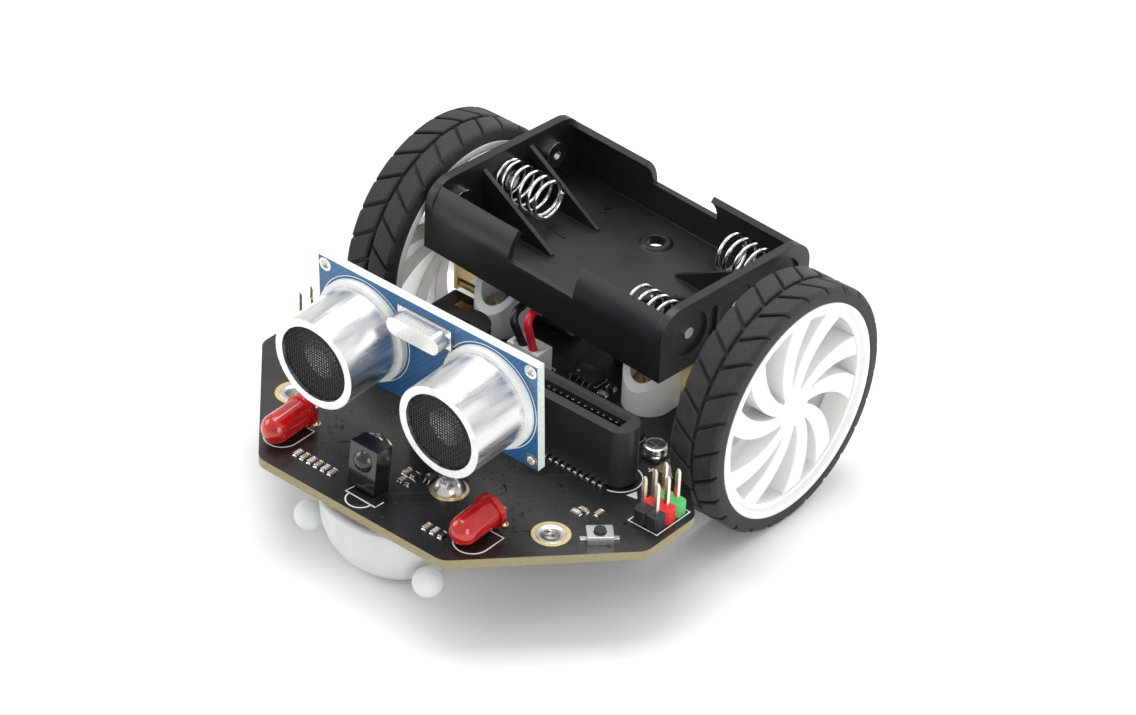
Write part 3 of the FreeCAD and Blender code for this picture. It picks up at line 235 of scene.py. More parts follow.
class Finish:
    """The node tree of one procedural material."""

    def __init__(self, name, **sockets):
        self.material = bpy.data.materials.new(name)
        self.material.use_nodes = True
        self.tree = self.material.node_tree
        self.shader = self.tree.nodes["Principled BSDF"]
        for socket, value in sockets.items():
            self.shader.inputs[socket.replace("_", " ")].default_value = value
        self.coordinates = self.node("TexCoord")
        self.place = self.coordinates.outputs["Object"]

    def node(self, kind, inputs=None, **settings):
        """Adds a node, with values or links for its sockets."""
        made = self.tree.nodes.new("ShaderNode" + kind)
        for key, value in settings.items():
            setattr(made, key, value)
        for key, value in (inputs or {}).items():
            if isinstance(value, bpy.types.NodeSocket):
                self.tree.links.new(value, made.inputs[key])
            else:
                made.inputs[key].default_value = value
        return made

    def link(self, output, socket):
        """Feeds one of the shader's sockets."""
        self.tree.links.new(output, self.shader.inputs[socket])

    def noise(self, size, stretch=(1, 1, 1), detail=5.0):
        """Noise with features of about the given size in millimetres."""
        scaled = self.node("Mapping", {"Vector": self.place, "Scale": stretch})
        made = self.node("TexNoise", {"Vector": scaled.outputs["Vector"], "Scale": 1 / (size * MM),
                                      "Detail": detail})
        return made.outputs["Fac"]

    def ramp(self, factor, low, high, start=0.3, end=0.7):
        """A colour that goes from low to high as the factor rises."""
        made = self.node("ValToRGB", {"Fac": factor})
        made.color_ramp.elements[0].position = start
        made.color_ramp.elements[1].position = end
        made.color_ramp.elements[0].color = (*low, 1)
        made.color_ramp.elements[1].color = (*high, 1)
        return made.outputs["Color"]

    def spread(self, factor, low, high, start=0.3, end=0.7):
        """A number that goes from low to high as the factor rises."""
        made = self.node("MapRange", {"Value": factor, "From Min": start, "From Max": end,
                                      "To Min": low, "To Max": high})
        return made.outputs["Result"]

    def maths(self, operation, first, second):
        """One sum of two numbers or sockets."""
        return self.node("Math", {0: first, 1: second}, operation=operation).outputs["Value"]

    def mix(self, factor, first, second):
        """One colour where the factor is 0 and the other where it is 1."""
        made = self.node("Mix", {"Factor": factor, "A": first, "B": second}, data_type="RGBA")
        return made.outputs["Result"]

    def relief(self, height, depth, edge):
        """Surface relief of a depth in millimetres, on edges rounded by a radius in millimetres."""
        rounded = self.node("Bevel", {"Radius": edge * MM}, samples=BEVEL_SAMPLES)
        bump = self.node("Bump", {"Height": height, "Distance": depth * MM, "Strength": 1.0,
                                  "Normal": rounded.outputs["Normal"]})
        self.link(bump.outputs["Normal"], "Normal")


def shades(colour, shift):
    """A darker and a lighter version of a colour."""
    return [min(c * (1 - shift), 1) for c in colour], [min(c * (1 + shift), 1) for c in colour]


def finish(name, colour, roughness, shift=0.12, grain=0.5, depth=0.006, edge=0.1,
           stretch=(1, 1, 1), **sockets):
    """A material whose colour, gloss and surface vary with a grain of a size in millimetres."""
    made = Finish(name, **sockets)
    grained = made.noise(grain, stretch)
    smudged = made.noise(SMUDGE_SIZE, detail=3.0)
    darker, lighter = shades(colour, shift)
    tone = made.maths("MULTIPLY_ADD", grained, 0.6)
    tone.node.inputs[2].default_value = 0.2
    made.link(made.ramp(tone, darker, lighter), "Base Color")
    made.link(made.spread(smudged, roughness * 0.82, roughness * 1.22), "Roughness")
    made.relief(grained, depth, edge)
    return made.material


def board_finish(name, mask, glimpse, laminate, roughness, pitch, upright):
    """Solder mask over hatched copper on the faces, and bare laminate on the edges."""
    made = Finish(name, Coat_Weight=0.25, Coat_Roughness=0.2)
    turn = (0, HATCH_TURN, 0) if upright else (0, 0, HATCH_TURN)
    lines = made.node("Mapping", {"Vector": made.place, "Rotation": turn})
    waves = []
    for axis in ("X", "Z") if upright else ("X", "Y"):
        wave = made.node("TexWave", {"Vector": lines.outputs["Vector"], "Scale": WAVE_PERIOD / (pitch * MM),
                                     "Distortion": 0.0}, bands_direction=axis)
        waves.append(wave.outputs["Fac"])
    hatch = made.maths("MAXIMUM", *waves)
    patches = made.noise(7.0, detail=1.0)
    lined = made.spread(hatch, 0.0, 1.0, 0.75, 0.95)
    flooded = made.spread(patches, 0.25, 1.0, 0.42, 0.5)
    shown = made.maths("MULTIPLY", lined, flooded)
    face = made.mix(shown, (*mask, 1), (*glimpse, 1))
    speckle = made.noise(0.35, (1, 6, 1) if upright else (1, 1, 6))
    side = made.ramp(speckle, *shades(laminate, 0.35))
    normal = made.node("SeparateXYZ", {"Vector": made.coordinates.outputs["Normal"]})
    flat = made.maths("ABSOLUTE", normal.outputs["Y" if upright else "Z"], 0.0)
    is_face = made.maths("GREATER_THAN", flat, FACE_SLOPE)
    made.link(made.mix(is_face, side, face), "Base Color")
    made.link(made.spread(is_face, 0.75, roughness, 0.0, 1.0), "Roughness")
    made.relief(shown, 0.012, 0.06)
    return made.material


def lamp_finish():
    """Red epoxy that lets light through, cloudier inside than at its skin."""
    made = Finish("red_epoxy", Transmission_Weight=0.3, IOR=1.5, Subsurface_Weight=0.4,
                  Subsurface_Scale=0.002, Coat_Weight=0.6, Coat_Roughness=0.04)
    made.shader.inputs["Subsurface Radius"].default_value = (1.0, 0.12, 0.06)
    clouds = made.noise(1.6, detail=3.0)
    made.link(made.ramp(clouds, (0.46, 0.003, 0.003), (0.74, 0.010, 0.008)), "Base Color")
    made.link(made.spread(made.noise(0.4), 0.05, 0.14), "Roughness")
    made.relief(made.noise(1.1), 0.01, 0.05)
    return made.material


def nylon_finish():
    """Natural nylon: milky, a little see-through, with flow marks."""
    made = Finish("natural_nylon", Subsurface_Weight=0.85, Subsurface_Scale=0.004,
                  Transmission_Weight=0.28, IOR=1.5)
    made.shader.inputs["Subsurface Radius"].default_value = (1.0, 1.0, 0.95)
    flow = made.noise(5.0, (1, 1, 0.4), detail=4.0)
    made.link(made.ramp(flow, (0.80, 0.83, 0.80), (0.93, 0.95, 0.93)), "Base Color")
    made.link(made.spread(made.noise(2.0), 0.3, 0.48), "Roughness")
    made.relief(made.noise(0.8), 0.012, 0.35)
    return made.material


def tyre_finish():
    """Black rubber with a dusty bloom in random patches over a fine grain."""
    made = Finish("tyre_rubber", Specular_IOR_Level=0.35, Sheen_Weight=0.06, Sheen_Roughness=0.5)
    bloom = made.noise(3.2, detail=6.0)
    fine = made.noise(0.25, detail=3.0)
    dust = made.maths("MULTIPLY", bloom, fine)
    made.link(made.ramp(dust, (0.010, 0.010, 0.011), (0.034, 0.035, 0.037), 0.12, 0.42), "Base Color")
    made.link(made.spread(bloom, 0.55, 0.8), "Roughness")
    made.relief(fine, 0.02, 0.16)
    return made.material


def can_finish():
    """Spun aluminium: fine turning marks round the axis and a few long rubs along it."""
    made = Finish("can_aluminium", Metallic=1.0, Anisotropic=0.35)
    turning = made.noise(0.6, (0.15, 7.0, 0.15), detail=6.0)
    rubs = made.noise(2.5, (1.6, 0.18, 1.6), detail=4.0)
    made.link(made.ramp(rubs, (0.66, 0.67, 0.69), (0.93, 0.93, 0.94)), "Base Color")
    made.link(made.spread(rubs, 0.2, 0.42), "Roughness")
    made.relief(turning, 0.012, 0.15)
    return made.material


# finish takes a colour, roughness, colour shift, grain, relief depth and edge rounding
MATERIALS = {
    "board_mask": board_finish("board_mask", (0.0045, 0.0045, 0.005), (0.017, 0.017, 0.017),
                               (0.27, 0.235, 0.12), 0.34, 0.55, False),
    "sonar_mask": board_finish("sonar_mask", (0.006, 0.085, 0.235), (0.012, 0.125, 0.31),
                               (0.62, 0.68, 0.62), 0.36, 0.8, True),
    "red_epoxy": lamp_finish(),
    "natural_nylon": nylon_finish(),
    "tyre_rubber": tyre_finish(),
    "can_aluminium": can_finish(),
    "gold_pad": finish("gold_pad", (0.86, 0.68, 0.36), 0.3, 0.16, 0.5, 0.004, 0.04, Metallic=1.0),
    "pin_gold": finish("pin_gold", (0.88, 0.80, 0.66), 0.24, 0.12, 0.5, 0.004, 0.06, Metallic=1.0),
    "black_plastic": finish("black_plastic", (0.016, 0.017, 0.019), 0.42, 0.25, 0.35, 0.008, 0.1),
    "holder_plastic": finish("holder_plastic", (0.009, 0.009, 0.0098), 0.38, 0.25, 0.6, 0.01, 0.25),
    "mesh_black": finish("mesh_black", (0.045, 0.045, 0.048), 0.42, 0.4, 0.6, 0.004, 0.03, Metallic=0.6),
    "white_plastic": finish("white_plastic", (0.82, 0.82, 0.80), 0.42, 0.05, 1.2, 0.01, 0.18,
                            Subsurface_Weight=0.2, Subsurface_Scale=0.001),
    "rim_plastic": finish("rim_plastic", (0.88, 0.88, 0.87), 0.26, 0.03, 2.0, 0.008, 0.5,
                          Subsurface_Weight=0.15, Subsurface_Scale=0.001, Coat_Weight=0.2,
                          Coat_Roughness=0.15),
    "tinned": finish("tinned", (0.80, 0.79, 0.76), 0.24, 0.12, 0.4, 0.01, 0.06, Metallic=1.0),
    "steel": finish("steel", (0.66, 0.65, 0.63), 0.27, 0.14, 0.5, 0.008, 0.14, Metallic=1.0),
    "spring_steel": finish("spring_steel", (0.80, 0.79, 0.77), 0.18, 0.1, 0.3, 0.003, 0.05, (4, 4, 1),
                           Metallic=1.0),
    "brass": finish("brass", (0.60, 0.45, 0.21), 0.34, 0.16, 0.5, 0.006, 0.06, Metallic=1.0),
    "ir_epoxy": finish("ir_epoxy", (0.008, 0.007, 0.009), 0.16, 0.3, 0.8, 0.004, 0.2, Coat_Weight=0.5),
    "red_plastic": finish("red_plastic", (0.72, 0.015, 0.02), 0.4, 0.12, 0.5, 0.008, 0.1),
    "green_plastic": finish("green_plastic", (0.10, 0.50, 0.15), 0.4, 0.12, 0.5, 0.008, 0.1),
    "red_pvc": finish("red_pvc", (0.66, 0.012, 0.03), 0.34, 0.12, 0.9, 0.01, 0.05),
    "black_pvc": finish("black_pvc", (0.012, 0.012, 0.013), 0.34, 0.2, 0.9, 0.01, 0.05),
    "foam": finish("foam", (0.62, 0.62, 0.60), 0.85, 0.25, 0.18, 0.05, 0.1),
    "ceramic": finish("ceramic", (0.42, 0.34, 0.24), 0.5, 0.15, 0.2, 0.006, 0.05),
    "resistor_black": finish("resistor_black", (0.02, 0.02, 0.022), 0.35, 0.2, 0.3, 0.004, 0.05),
    "resistor_white": finish("resistor_white", (0.62, 0.62, 0.58), 0.5, 0.1, 0.3, 0.004, 0.05),
    "chip_black": finish("chip_black", (0.022, 0.022, 0.024), 0.5, 0.22, 0.15, 0.008, 0.06),
    "print_white": finish("print_white", (0.80, 0.80, 0.78), 0.6, 0.16, 0.25, 0.006, 0.02),
    "can_dark": finish("can_dark", (0.03, 0.03, 0.032), 0.5, 0.3, 0.4, 0.01, 0.05),
}


def dress_nodes():
    """Gives every CAD node that stays the detailed version of its own material."""
    slots = {part["node"]: part["material_slot"] for part in frame["record"]["subparts"]}
    for name, made in frame["nodes"].items():
        made.data.materials.clear()
        made.data.materials.append(MATERIALS[slots[name]])


# ------------------------------------------------------------------ wheels
TREAD_BLOCKS = 26
TREAD_DEPTH = 0.95
TREAD_SLANT = 0.62
GROOVE_SHARE = 0.13
CENTRE_GROOVE = 0.32
SIDEWALL_R = 19.9
BEAD_R = 18.8
TREAD_CREASE = 30
HALF_TREAD = (WHEEL_FACE_X - WHEEL_BACK_X) / 2
BLOCK_ROOT = 0.15
BLOCK_EDGE_DROP = 0.16
# share of the half width from the centre groove out, and the block's drop below the crown there
BLOCK_SECTIONS = ((CENTRE_GROOVE / HALF_TREAD, 0.2), (0.14, 0.0), (0.5, 0.0), (0.84, 0.0), (0.93, 0.28),
                  (0.985, 0.75))
# depth in from a sidewall, and height above the bead or above the tread's floor
BEAD_SECTION = ((0.5, 0.0), (0.05, 0.1), (0.0, 0.4))
SHOULDER_SECTION = ((0.12, 0.0), (0.5, 0.15))
CARCASS_SIDES = 104


def wheel_point(x, radius, angle):
    """A point on a wheel: along the axle, out from it, and round it from +Y towards +Z."""
    return Vector((x, radius * math.cos(angle), AXLE_Z + radius * math.sin(angle)))


def tread_block(shape, index, row):
    """One slanted tread block, from the centre groove out over the shoulder."""
    middle_x = (WHEEL_BACK_X + WHEEL_FACE_X) / 2
    pitch = 2 * math.pi / TREAD_BLOCKS
    floor_r = WHEEL_RADIUS - TREAD_DEPTH - BLOCK_ROOT
    centre = (index + (0.5 if row > 0 else 0.0)) * pitch
    rings = []
    for share, fall in BLOCK_SECTIONS:
        top_r = WHEEL_RADIUS - fall
        x = middle_x + row * HALF_TREAD * share
        lead = centre - TREAD_SLANT * pitch * share
        half = pitch * (0.5 - GROOVE_SHARE / 2 * (1.15 - 0.3 * share))
        ring = [wheel_point(x, floor_r, lead - half)]
        for step in (-1.0, -0.9, -0.3, 0.3, 0.9, 1.0):
            drop = BLOCK_EDGE_DROP if abs(step) == 1.0 else 0.0
            ring.append(wheel_point(x, max(top_r - drop, floor_r + 0.02), lead + half * step))
        ring.append(wheel_point(x, floor_r, lead + half))
        rings.append(ring)
    shape.loft(rings)


def tyre_shape():
    """A tyre: a plain carcass with raised side bands, and two rows of slanted blocks."""
    shape = Shape()
    top_r = WHEEL_RADIUS - TREAD_DEPTH
    side = [(depth, BEAD_R + rise) for depth, rise in BEAD_SECTION]
    side.append((0.0, SIDEWALL_R))
    side += [(depth, top_r + rise) for depth, rise in SHOULDER_SECTION]
    profile = [(WHEEL_BACK_X + depth, radius) for depth, radius in side]
    profile += [(WHEEL_FACE_X - depth, radius) for depth, radius in reversed(side)]
    shape.lathe(profile, (0, 0, AXLE_Z), (1, 0, 0), CARCASS_SIDES, closed=True)
    for index in range(TREAD_BLOCKS):
        for row in (-1, 1):
            tread_block(shape, index, row)
    return shape


def make_tyres():
    """Both tyres are one moulding: the left one is the right one turned round."""
    right = tyre_shape()
    left = tyre_shape()
    left.turned(lambda point: (-point.x, -point.y, point.z))
    for side, shape in (("right", right), ("left", left)):
        piece("tread_" + side, shape, "wheel_" + side, [MATERIALS["tyre_rubber"]],
              ["tyre_" + side], TREAD_CREASE)


# ------------------------------------------------------------------ sonar
SONAR_FACE_Y = -44.46
SONAR_BOTTOM = 25.3
SONAR_SIZE = (45.2, 1.6, 20.1)
SONAR_LEAN = math.radians(3.5)
CAN_X = 13.0
CAN_RADIUS = 8.0
CAN_FRONT_Y = SONAR_FACE_Y - 12.0
CAN_Z = SONAR_BOTTOM + SONAR_SIZE[2] / 2
MESH_PITCH = 0.5
MESH_WIRE = 0.1
MESH_WALL = 0.55
MESH_DEPTH = 0.86
MESH_SWING = 0.07
THROAT_DEPTH = 8.5
# turned profiles: distance out from the foot, and radius
THROAT_PLATE = ((0.02, 0.01), (0.02, 7.45), (2.4, 7.45), (2.4, 7.2), (0.3, 7.1), (0.3, 0.01))
THROAT_CONE = ((0.3, 1.2), (0.5, 1.3), (1.7, 3.4), (1.8, 3.3), (0.7, 0.9), (0.6, 0.02), (0.3, 0.02))
CORNER_RING = ((-0.03, 0.78), (-0.03, 1.2), (1.63, 1.2), (1.63, 0.78))
PIN_JOINT = ((0, 0.75), (0.15, 0.7), (0.5, 0.35), (0.7, 0.05))
CAN_JOINT = ((0, 0.9), (0.2, 0.8), (0.6, 0.4), (0.9, 0.1))
CAN_OUTLINE = ((0, 9.25), (0, 9.4), (0.02, 9.4), (0.02, 9.25))
CORNER_INSET = 1.4
PIN_ROW_RISE = 1.9
PIN_PITCH = 2.54
BACK_CHIPS = ((-13.0, 40.3), (0.5, 38.0), (14.0, 40.3))
BACK_CHIP_SIZE = (8.6, 3.9)
BACK_LEG_PITCH = 1.27 * 0.95
# out from the edge of a chip, and up from its board
BACK_LEG_PATH = ((-0.1, 0.8), (0.45, 0.8), (0.6, 0.12), (1.05, 0.1))


def leaned(point):
    """A point of the upright sonar after the module's slight lean forward."""
    foot = Vector((0, SONAR_FACE_Y, SONAR_BOTTOM))
    return Matrix.Rotation(SONAR_LEAN, 3, "X") @ (point - foot) + foot


def make_sonar_weave():
    """The woven wire discs behind the lips of the cans."""
    shape = Shape()
    radius = CAN_RADIUS - MESH_WALL
    depth = CAN_FRONT_Y + MESH_DEPTH
    count = int(radius / MESH_PITCH)
    for can_x in (-CAN_X, CAN_X):
        for lane in range(-count, count + 1):
            offset = lane * MESH_PITCH
            reach = math.sqrt(radius ** 2 - offset ** 2)
            steps = max(2, int(reach / MESH_PITCH * 2))
            for along_x in (True, False):
                path = []
                for i in range(-steps, steps + 1):
                    run = i * MESH_PITCH / 2
                    weave = MESH_SWING * math.cos(math.pi * (i / 2 + lane)) * (1 if along_x else -1)
                    x, z = (run, offset) if along_x else (offset, run)
                    path.append((can_x + x, depth + weave, CAN_Z + z))
                shape.tube(path, MESH_WIRE, 5)
    shape.turned(leaned)
    piece("sonar_weave", shape, CHASSIS, [MATERIALS["mesh_black"]], ["sonar_meshes"])


def make_sonar_throats():
    """The dark plate and the small bright cone inside each can."""
    shape = Shape()
    for x in (-CAN_X, CAN_X):
        foot = (x, SONAR_FACE_Y - THROAT_DEPTH, CAN_Z)
        shape.lathe(THROAT_PLATE, foot, (0, -1, 0), 48, 0, closed=True)
        shape.lathe(THROAT_CONE, foot, (0, -1, 0), 40, 1, closed=True)
    shape.turned(leaned)
    piece("sonar_throats", shape, CHASSIS,
          [MATERIALS["can_dark"], MATERIALS["can_aluminium"]])


def make_sonar_print():
    """Tinned rings at the corner holes, solder joints, and printed outlines on both faces."""
    shape = Shape()
    half_l, height = SONAR_SIZE[0] / 2, SONAR_SIZE[2]
    face, back = SONAR_FACE_Y, SONAR_FACE_Y + SONAR_SIZE[1]
    for x in (-half_l + CORNER_INSET, half_l - CORNER_INSET):
        for z in (SONAR_BOTTOM + CORNER_INSET, SONAR_BOTTOM + height - CORNER_INSET):
            shape.lathe(CORNER_RING, (x, face, z), (0, 1, 0), 28, 0, closed=True)
    for i in range(4):
        x = (i - 1.5) * PIN_PITCH
        shape.lathe(PIN_JOINT, (x, face, SONAR_BOTTOM + PIN_ROW_RISE), (0, -1, 0), 14, 0)
    for can_x in (-CAN_X, CAN_X):
        shape.lathe(CAN_OUTLINE, (can_x, face, CAN_Z), (0, -1, 0), 64, 1, closed=True)
        for dx in (-PIN_PITCH, PIN_PITCH):
            shape.lathe(CAN_JOINT, (can_x + dx, back, CAN_Z), (0, 1, 0), 14, 0)
    shape.turned(leaned)
    piece("sonar_print", shape, CHASSIS, [MATERIALS["tinned"], MATERIALS["print_white"]])


def make_sonar_back_chips():
    """The three integrated circuits and the small parts on the back of the sonar board."""
    shape = Shape()
    back = SONAR_FACE_Y + SONAR_SIZE[1]
    wide, tall = BACK_CHIP_SIZE
    for x, z in BACK_CHIPS:
        outline = cut_corners(x, z, wide / 2, tall / 2, 0.1)
        part = Shape()
        part.prism(outline, 0.15, 1.5, 0.25, 0)
        for i in range(7):
            leg_x = x + (i - 3) * BACK_LEG_PITCH
            for side in (-1, 1):
                edge = z + side * tall / 2
                path = [(leg_x, edge + side * out, up) for out, up in BACK_LEG_PATH]
                part.tube(path, 0.17, 4, 1)
        part.turned(lambda point: (point.x, back + point.z, point.y))
        shape.join(part)
    for i in range(9):
        part = Shape()
        chip_part(part, -18 + i * 4.4, 29.3 + (i % 3) * 1.6, 0, 0.0, 2)
        part.turned(lambda point: (point.x, back + point.z, point.y))
        shape.join(part)
    shape.turned(leaned)
    piece("sonar_back_chips", shape, CHASSIS, SMD_MATERIALS)


# ------------------------------------------------------------------ parts soldered to the board
SMD_SLOTS = ("chip_black", "tinned", "resistor_black", "ceramic", "resistor_white")
SMD_MATERIALS = [MATERIALS[slot] for slot in SMD_SLOTS]
# centre x and y, turn, and which of the materials above the body has
SMALL_PARTS = [(-15.5 + 1.48 * i, -57.7, 90, (4, 3)[i % 2]) for i in range(6)]
SMALL_PARTS += [(12.05 + 1.62 * i, -58.0, 90, (3, 4, 2)[i]) for i in range(3)]
SMALL_PARTS += [(0.3, -49.5, 90, 3), (1.9, -49.5, 90, 2), (1.1, -51.5, 90, 3), (2.6, -51.5, 90, 2)]
SMALL_PARTS += [(26.5, -39.4, 0, 4), (27.0, -38.2, 0, 3), (29.2, -37.1, 90, 3)]
SMALL_PARTS += [(9.3, -12.3, 0, 3), (9.3, -10.1, 0, 2), (12.0, -15.4, 90, 3), (-22.6, -17.0, 0, 2)]
CHIP_LIFT, CHIP_HEIGHT = 0.12, 1.05
CHIP_LEG_PATH = ((-0.1, 0.55), (0.25, 0.55), (0.42, 0.14), (0.8, 0.12))
CHIP_LEG_RADIUS = 0.13
MARK_SHARE = 0.28
MARK_INNER, MARK_OUTER = 0.1, 0.24
# centre x and y, body length and width, leg pitch, number of legs along each side
CHIPS = [(7.0, -18.2, 5.0, 4.0, 0.8, 6), (19.9, -18.2, 3.6, 3.2, 0.8, 4), (4.4, -48.4, 1.4, 1.6, 0.8, 2),
         (4.5, -10.3, 4.9, 3.5, 1.27, 4), (0.0, 10.0, 7.0, 7.0, 0.8, 8)]

SMALL_BODY_HALF = (0.52, 0.37)
SMALL_BODY_Z = (0.04, 0.46)
# middle of a soldered end, half length, half width, corner cut, height and chamfer
SMALL_ENDS = ((0.66, 0.15, 0.395, 0.06, 0.49, 0.05), (0.86, 0.17, 0.42, 0.1, 0.17, 0.12))


def chip_part(shape, x, y, turn, level, body_kind):
    """A chip resistor or capacitor: a body between two tinned ends, in soft solder fillets."""
    part = Shape()
    part.prism(cut_corners(0, 0, *SMALL_BODY_HALF, 0.02), *SMALL_BODY_Z, 0.03, body_kind)
    for side in (-1, 1):
        for middle, half_x, half_y, cut, height, chamfer in SMALL_ENDS:
            part.prism(cut_corners(side * middle, 0, half_x, half_y, cut), 0.0, height, chamfer, 1)
    spin = Matrix.Rotation(math.radians(turn), 3, "Z")
    part.turned(lambda point: spin @ point + Vector((x, y, level)))
    shape.join(part)


def make_small_parts():
    """All chip resistors and capacitors of the main board."""
    shape = Shape()
    for x, y, turn, body_kind in SMALL_PARTS:
        chip_part(shape, x, y, turn, BOARD_TOP, body_kind)
    piece("chip_parts", shape, CHASSIS, SMD_MATERIALS, ["small_parts"])


def make_chips():
    """Integrated circuits with bent legs and a round mark at the first one."""
    shape = Shape()
    for x, y, length, width, pitch, count in CHIPS:
        outline = cut_corners(x, y, length / 2, width / 2, 0.08)
        top = BOARD_TOP + CHIP_HEIGHT
        shape.prism(outline, BOARD_TOP + CHIP_LIFT, top, 0.12, 0)
        mark = min(length, width) * MARK_SHARE
        shape.washer(x - length / 2 + mark, y - width / 2 + mark, MARK_INNER, MARK_OUTER,
                     top - 0.01, top + 0.01, 4, 14)
        for i in range(count):
            leg_x = x + (i - (count - 1) / 2) * pitch
            for side in (-1, 1):
                edge = y + side * width / 2
                path = [(leg_x, edge + side * out, BOARD_TOP + up) for out, up in CHIP_LEG_PATH]
                shape.tube(path, CHIP_LEG_RADIUS, 6, 1)
    piece("chip_bodies", shape, CHASSIS, SMD_MATERIALS, ["chips"])


CAPACITOR_BASE = 0.55
CAPACITOR_BASE_SHARE = 0.97
CAPACITOR_CUT = 0.7
SCORE_DEPTH = 0.06
SCORE_SHARE = 0.6
SCORE_WIDTH = 0.16
# height above the foot or depth below the top, and share of the can's radius
CRIMP_SECTION = ((0.5, 0.8), (0.7, 0.97), (1.0, 0.9), (1.3, 0.98))
SHOULDER_SHARES = ((0.35, 0.98), (0.1, 0.93), (0.0, 0.8), (SCORE_DEPTH, 0.72))


def make_capacitor():
    """The round can on its black base, its top scored and its foot crimped."""
    low, high = node_box("storage_capacitor")
    x, y = (low.x + high.x) / 2, (low.y + high.y) / 2
    radius = (high.x - low.x) / 2
    top = high.z
    shape = Shape()
    side = radius * CAPACITOR_BASE_SHARE
    shape.prism(cut_corners(x, y, side, side, CAPACITOR_CUT), low.z, low.z + CAPACITOR_BASE, 0.1, 0)
    profile = [(low.z + rise, radius * share) for rise, share in CRIMP_SECTION]
    profile += [(top - fall, radius * share) for fall, share in SHOULDER_SHARES]
    profile.append((top - SCORE_DEPTH, 0.01))
    shape.lathe(profile, (x, y, 0), (0, 0, 1), 40, 1)
    for angle in (0, math.pi / 2):
        way = Vector((math.cos(angle), math.sin(angle))) * radius * SCORE_SHARE
        ends = [(x - way.x, y - way.y), (x + way.x, y + way.y)]
        shape.ribbon(ends, SCORE_WIDTH, top - 0.07, top - 0.03)
    piece("capacitor_can", shape, CHASSIS,
          [MATERIALS["black_plastic"], MATERIALS["tinned"]], ["storage_capacitor"])


SLOT_CONTACTS = 40
SLOT_PITCH = 1.27
SLOT_FOOT_INSET = 0.3
FILLET_HALF = (0.33, 0.42)
FILLET_CUT = 0.15
FILLET_HEIGHT = 0.33
FILLET_SLOPE = 0.14


def make_solder_fillets():
    """Solder on the feet of the card slot's contacts."""
    shape = Shape()
    low, high = node_box("edge_contacts")
    for i in range(SLOT_CONTACTS):
        x = (i - (SLOT_CONTACTS - 1) / 2) * SLOT_PITCH
        for foot_y in (low.y + SLOT_FOOT_INSET, high.y - SLOT_FOOT_INSET):
            outline = cut_corners(x, foot_y, *FILLET_HALF, FILLET_CUT)
            shape.prism(outline, BOARD_TOP, BOARD_TOP + FILLET_HEIGHT, FILLET_SLOPE)
    piece("solder_fillets", shape, CHASSIS, [MATERIALS["tinned"]])


SERVO_ROWS = (("ground", "black_plastic"), ("power", "red_plastic"), ("signal", "green_plastic"))
HEADER_CUT = 0.45
HEADER_CHAMFER = 0.12
PIN_HALF = 0.32
# the pointed end's length, its share of the half width, and how far the foot goes below the CAD pins
PIN_TIP = 0.7
PIN_TIP_SHARE = 0.45
PIN_SUNK = 0.2


def make_servo_headers():
    """Three coloured insulator rows with cut corners, and square pins with pointed tips."""
    for name, slot in SERVO_ROWS:
        low, high = node_box("servo_base_" + name)
        shape = Shape()
        module = (high.y - low.y) / 2
        for side in (-1, 1):
            for x in (high.x - module, high.x - 3 * module):
                outline = cut_corners(side * x, (low.y + high.y) / 2, module, module, HEADER_CUT)
                shape.prism(outline, low.z, high.z, HEADER_CHAMFER)
        piece("header_row_" + name, shape, CHASSIS, [MATERIALS[slot]], ["servo_base_" + name])
    low, high = node_box("servo_pins")
    sections = ((low.z - PIN_SUNK, PIN_HALF), (high.z - PIN_TIP, PIN_HALF),
                (high.z, PIN_HALF * PIN_TIP_SHARE))
    shape = Shape()
    rows = [node_middle("servo_base_" + name).y for name, _ in SERVO_ROWS]
    for y in rows:
        for x in (high.x - PIN_HALF, high.x - PIN_HALF - PIN_PITCH):
            for side in (-1, 1):
                rings = []
                for z, reach in sections:
                    rings.append([(side * x + sx * reach, y + sy * reach, z) for sx, sy in
                                  ((-1, -1), (1, -1), (1, 1), (-1, 1))])
                shape.loft(rings)
    piece("header_pins", shape, CHASSIS, [MATERIALS["pin_gold"]], ["servo_pins"])


INSERT_BORE = 1.25
INSERT_WALL_R = 2.08
INSERT_FLANGE_R = 2.45
INSERT_THROAT_R = 1.6
INSERT_RING_INNER = 2.4
INSERT_RING_MARGIN = 0.2
INSERT_RING_HEIGHT = 0.05
FLANGE_THICKNESS = 0.1
FLANGE_PROUD = 0.02
FIRST_TURN_DEPTH = 0.15
THREAD_PITCH = 0.5
# how far outside the bore a turn's crest is, and its root half a pitch lower
THREAD_CREST, THREAD_ROOT = 0.04, 0.22


def make_nose_inserts():
    """Flanged inserts with a cut thread, on gold rings."""
    low, high = node_box("threaded_inserts")
    flange_r = (high.y - low.y) / 2
    shape = Shape()
    for side in (-1, 1):
        x, y = side * (high.x - flange_r), (low.y + high.y) / 2
        shape.washer(x, y, INSERT_RING_INNER, flange_r + INSERT_RING_MARGIN, BOARD_TOP,
                     BOARD_TOP + INSERT_RING_HEIGHT, 0, 48)
        under, top = high.z - FLANGE_THICKNESS, high.z + FLANGE_PROUD
        profile = [(low.z, INSERT_WALL_R), (under, INSERT_WALL_R), (under, INSERT_FLANGE_R),
                   (top, INSERT_FLANGE_R - 0.05), (top, INSERT_THROAT_R)]
        for i in range(int((high.z - low.z) / THREAD_PITCH)):
            z = high.z - FIRST_TURN_DEPTH - i * THREAD_PITCH
            profile += [(z, INSERT_BORE + THREAD_CREST), (z - THREAD_PITCH / 2, INSERT_BORE + THREAD_ROOT)]
        profile.append((low.z, INSERT_BORE + 0.1))
        shape.lathe(profile, (x, y, 0), (0, 0, 1), 40, 1, closed=True)
    piece("nose_inserts", shape, CHASSIS, [MATERIALS["gold_pad"], MATERIALS["steel"]],
          ["threaded_inserts"])


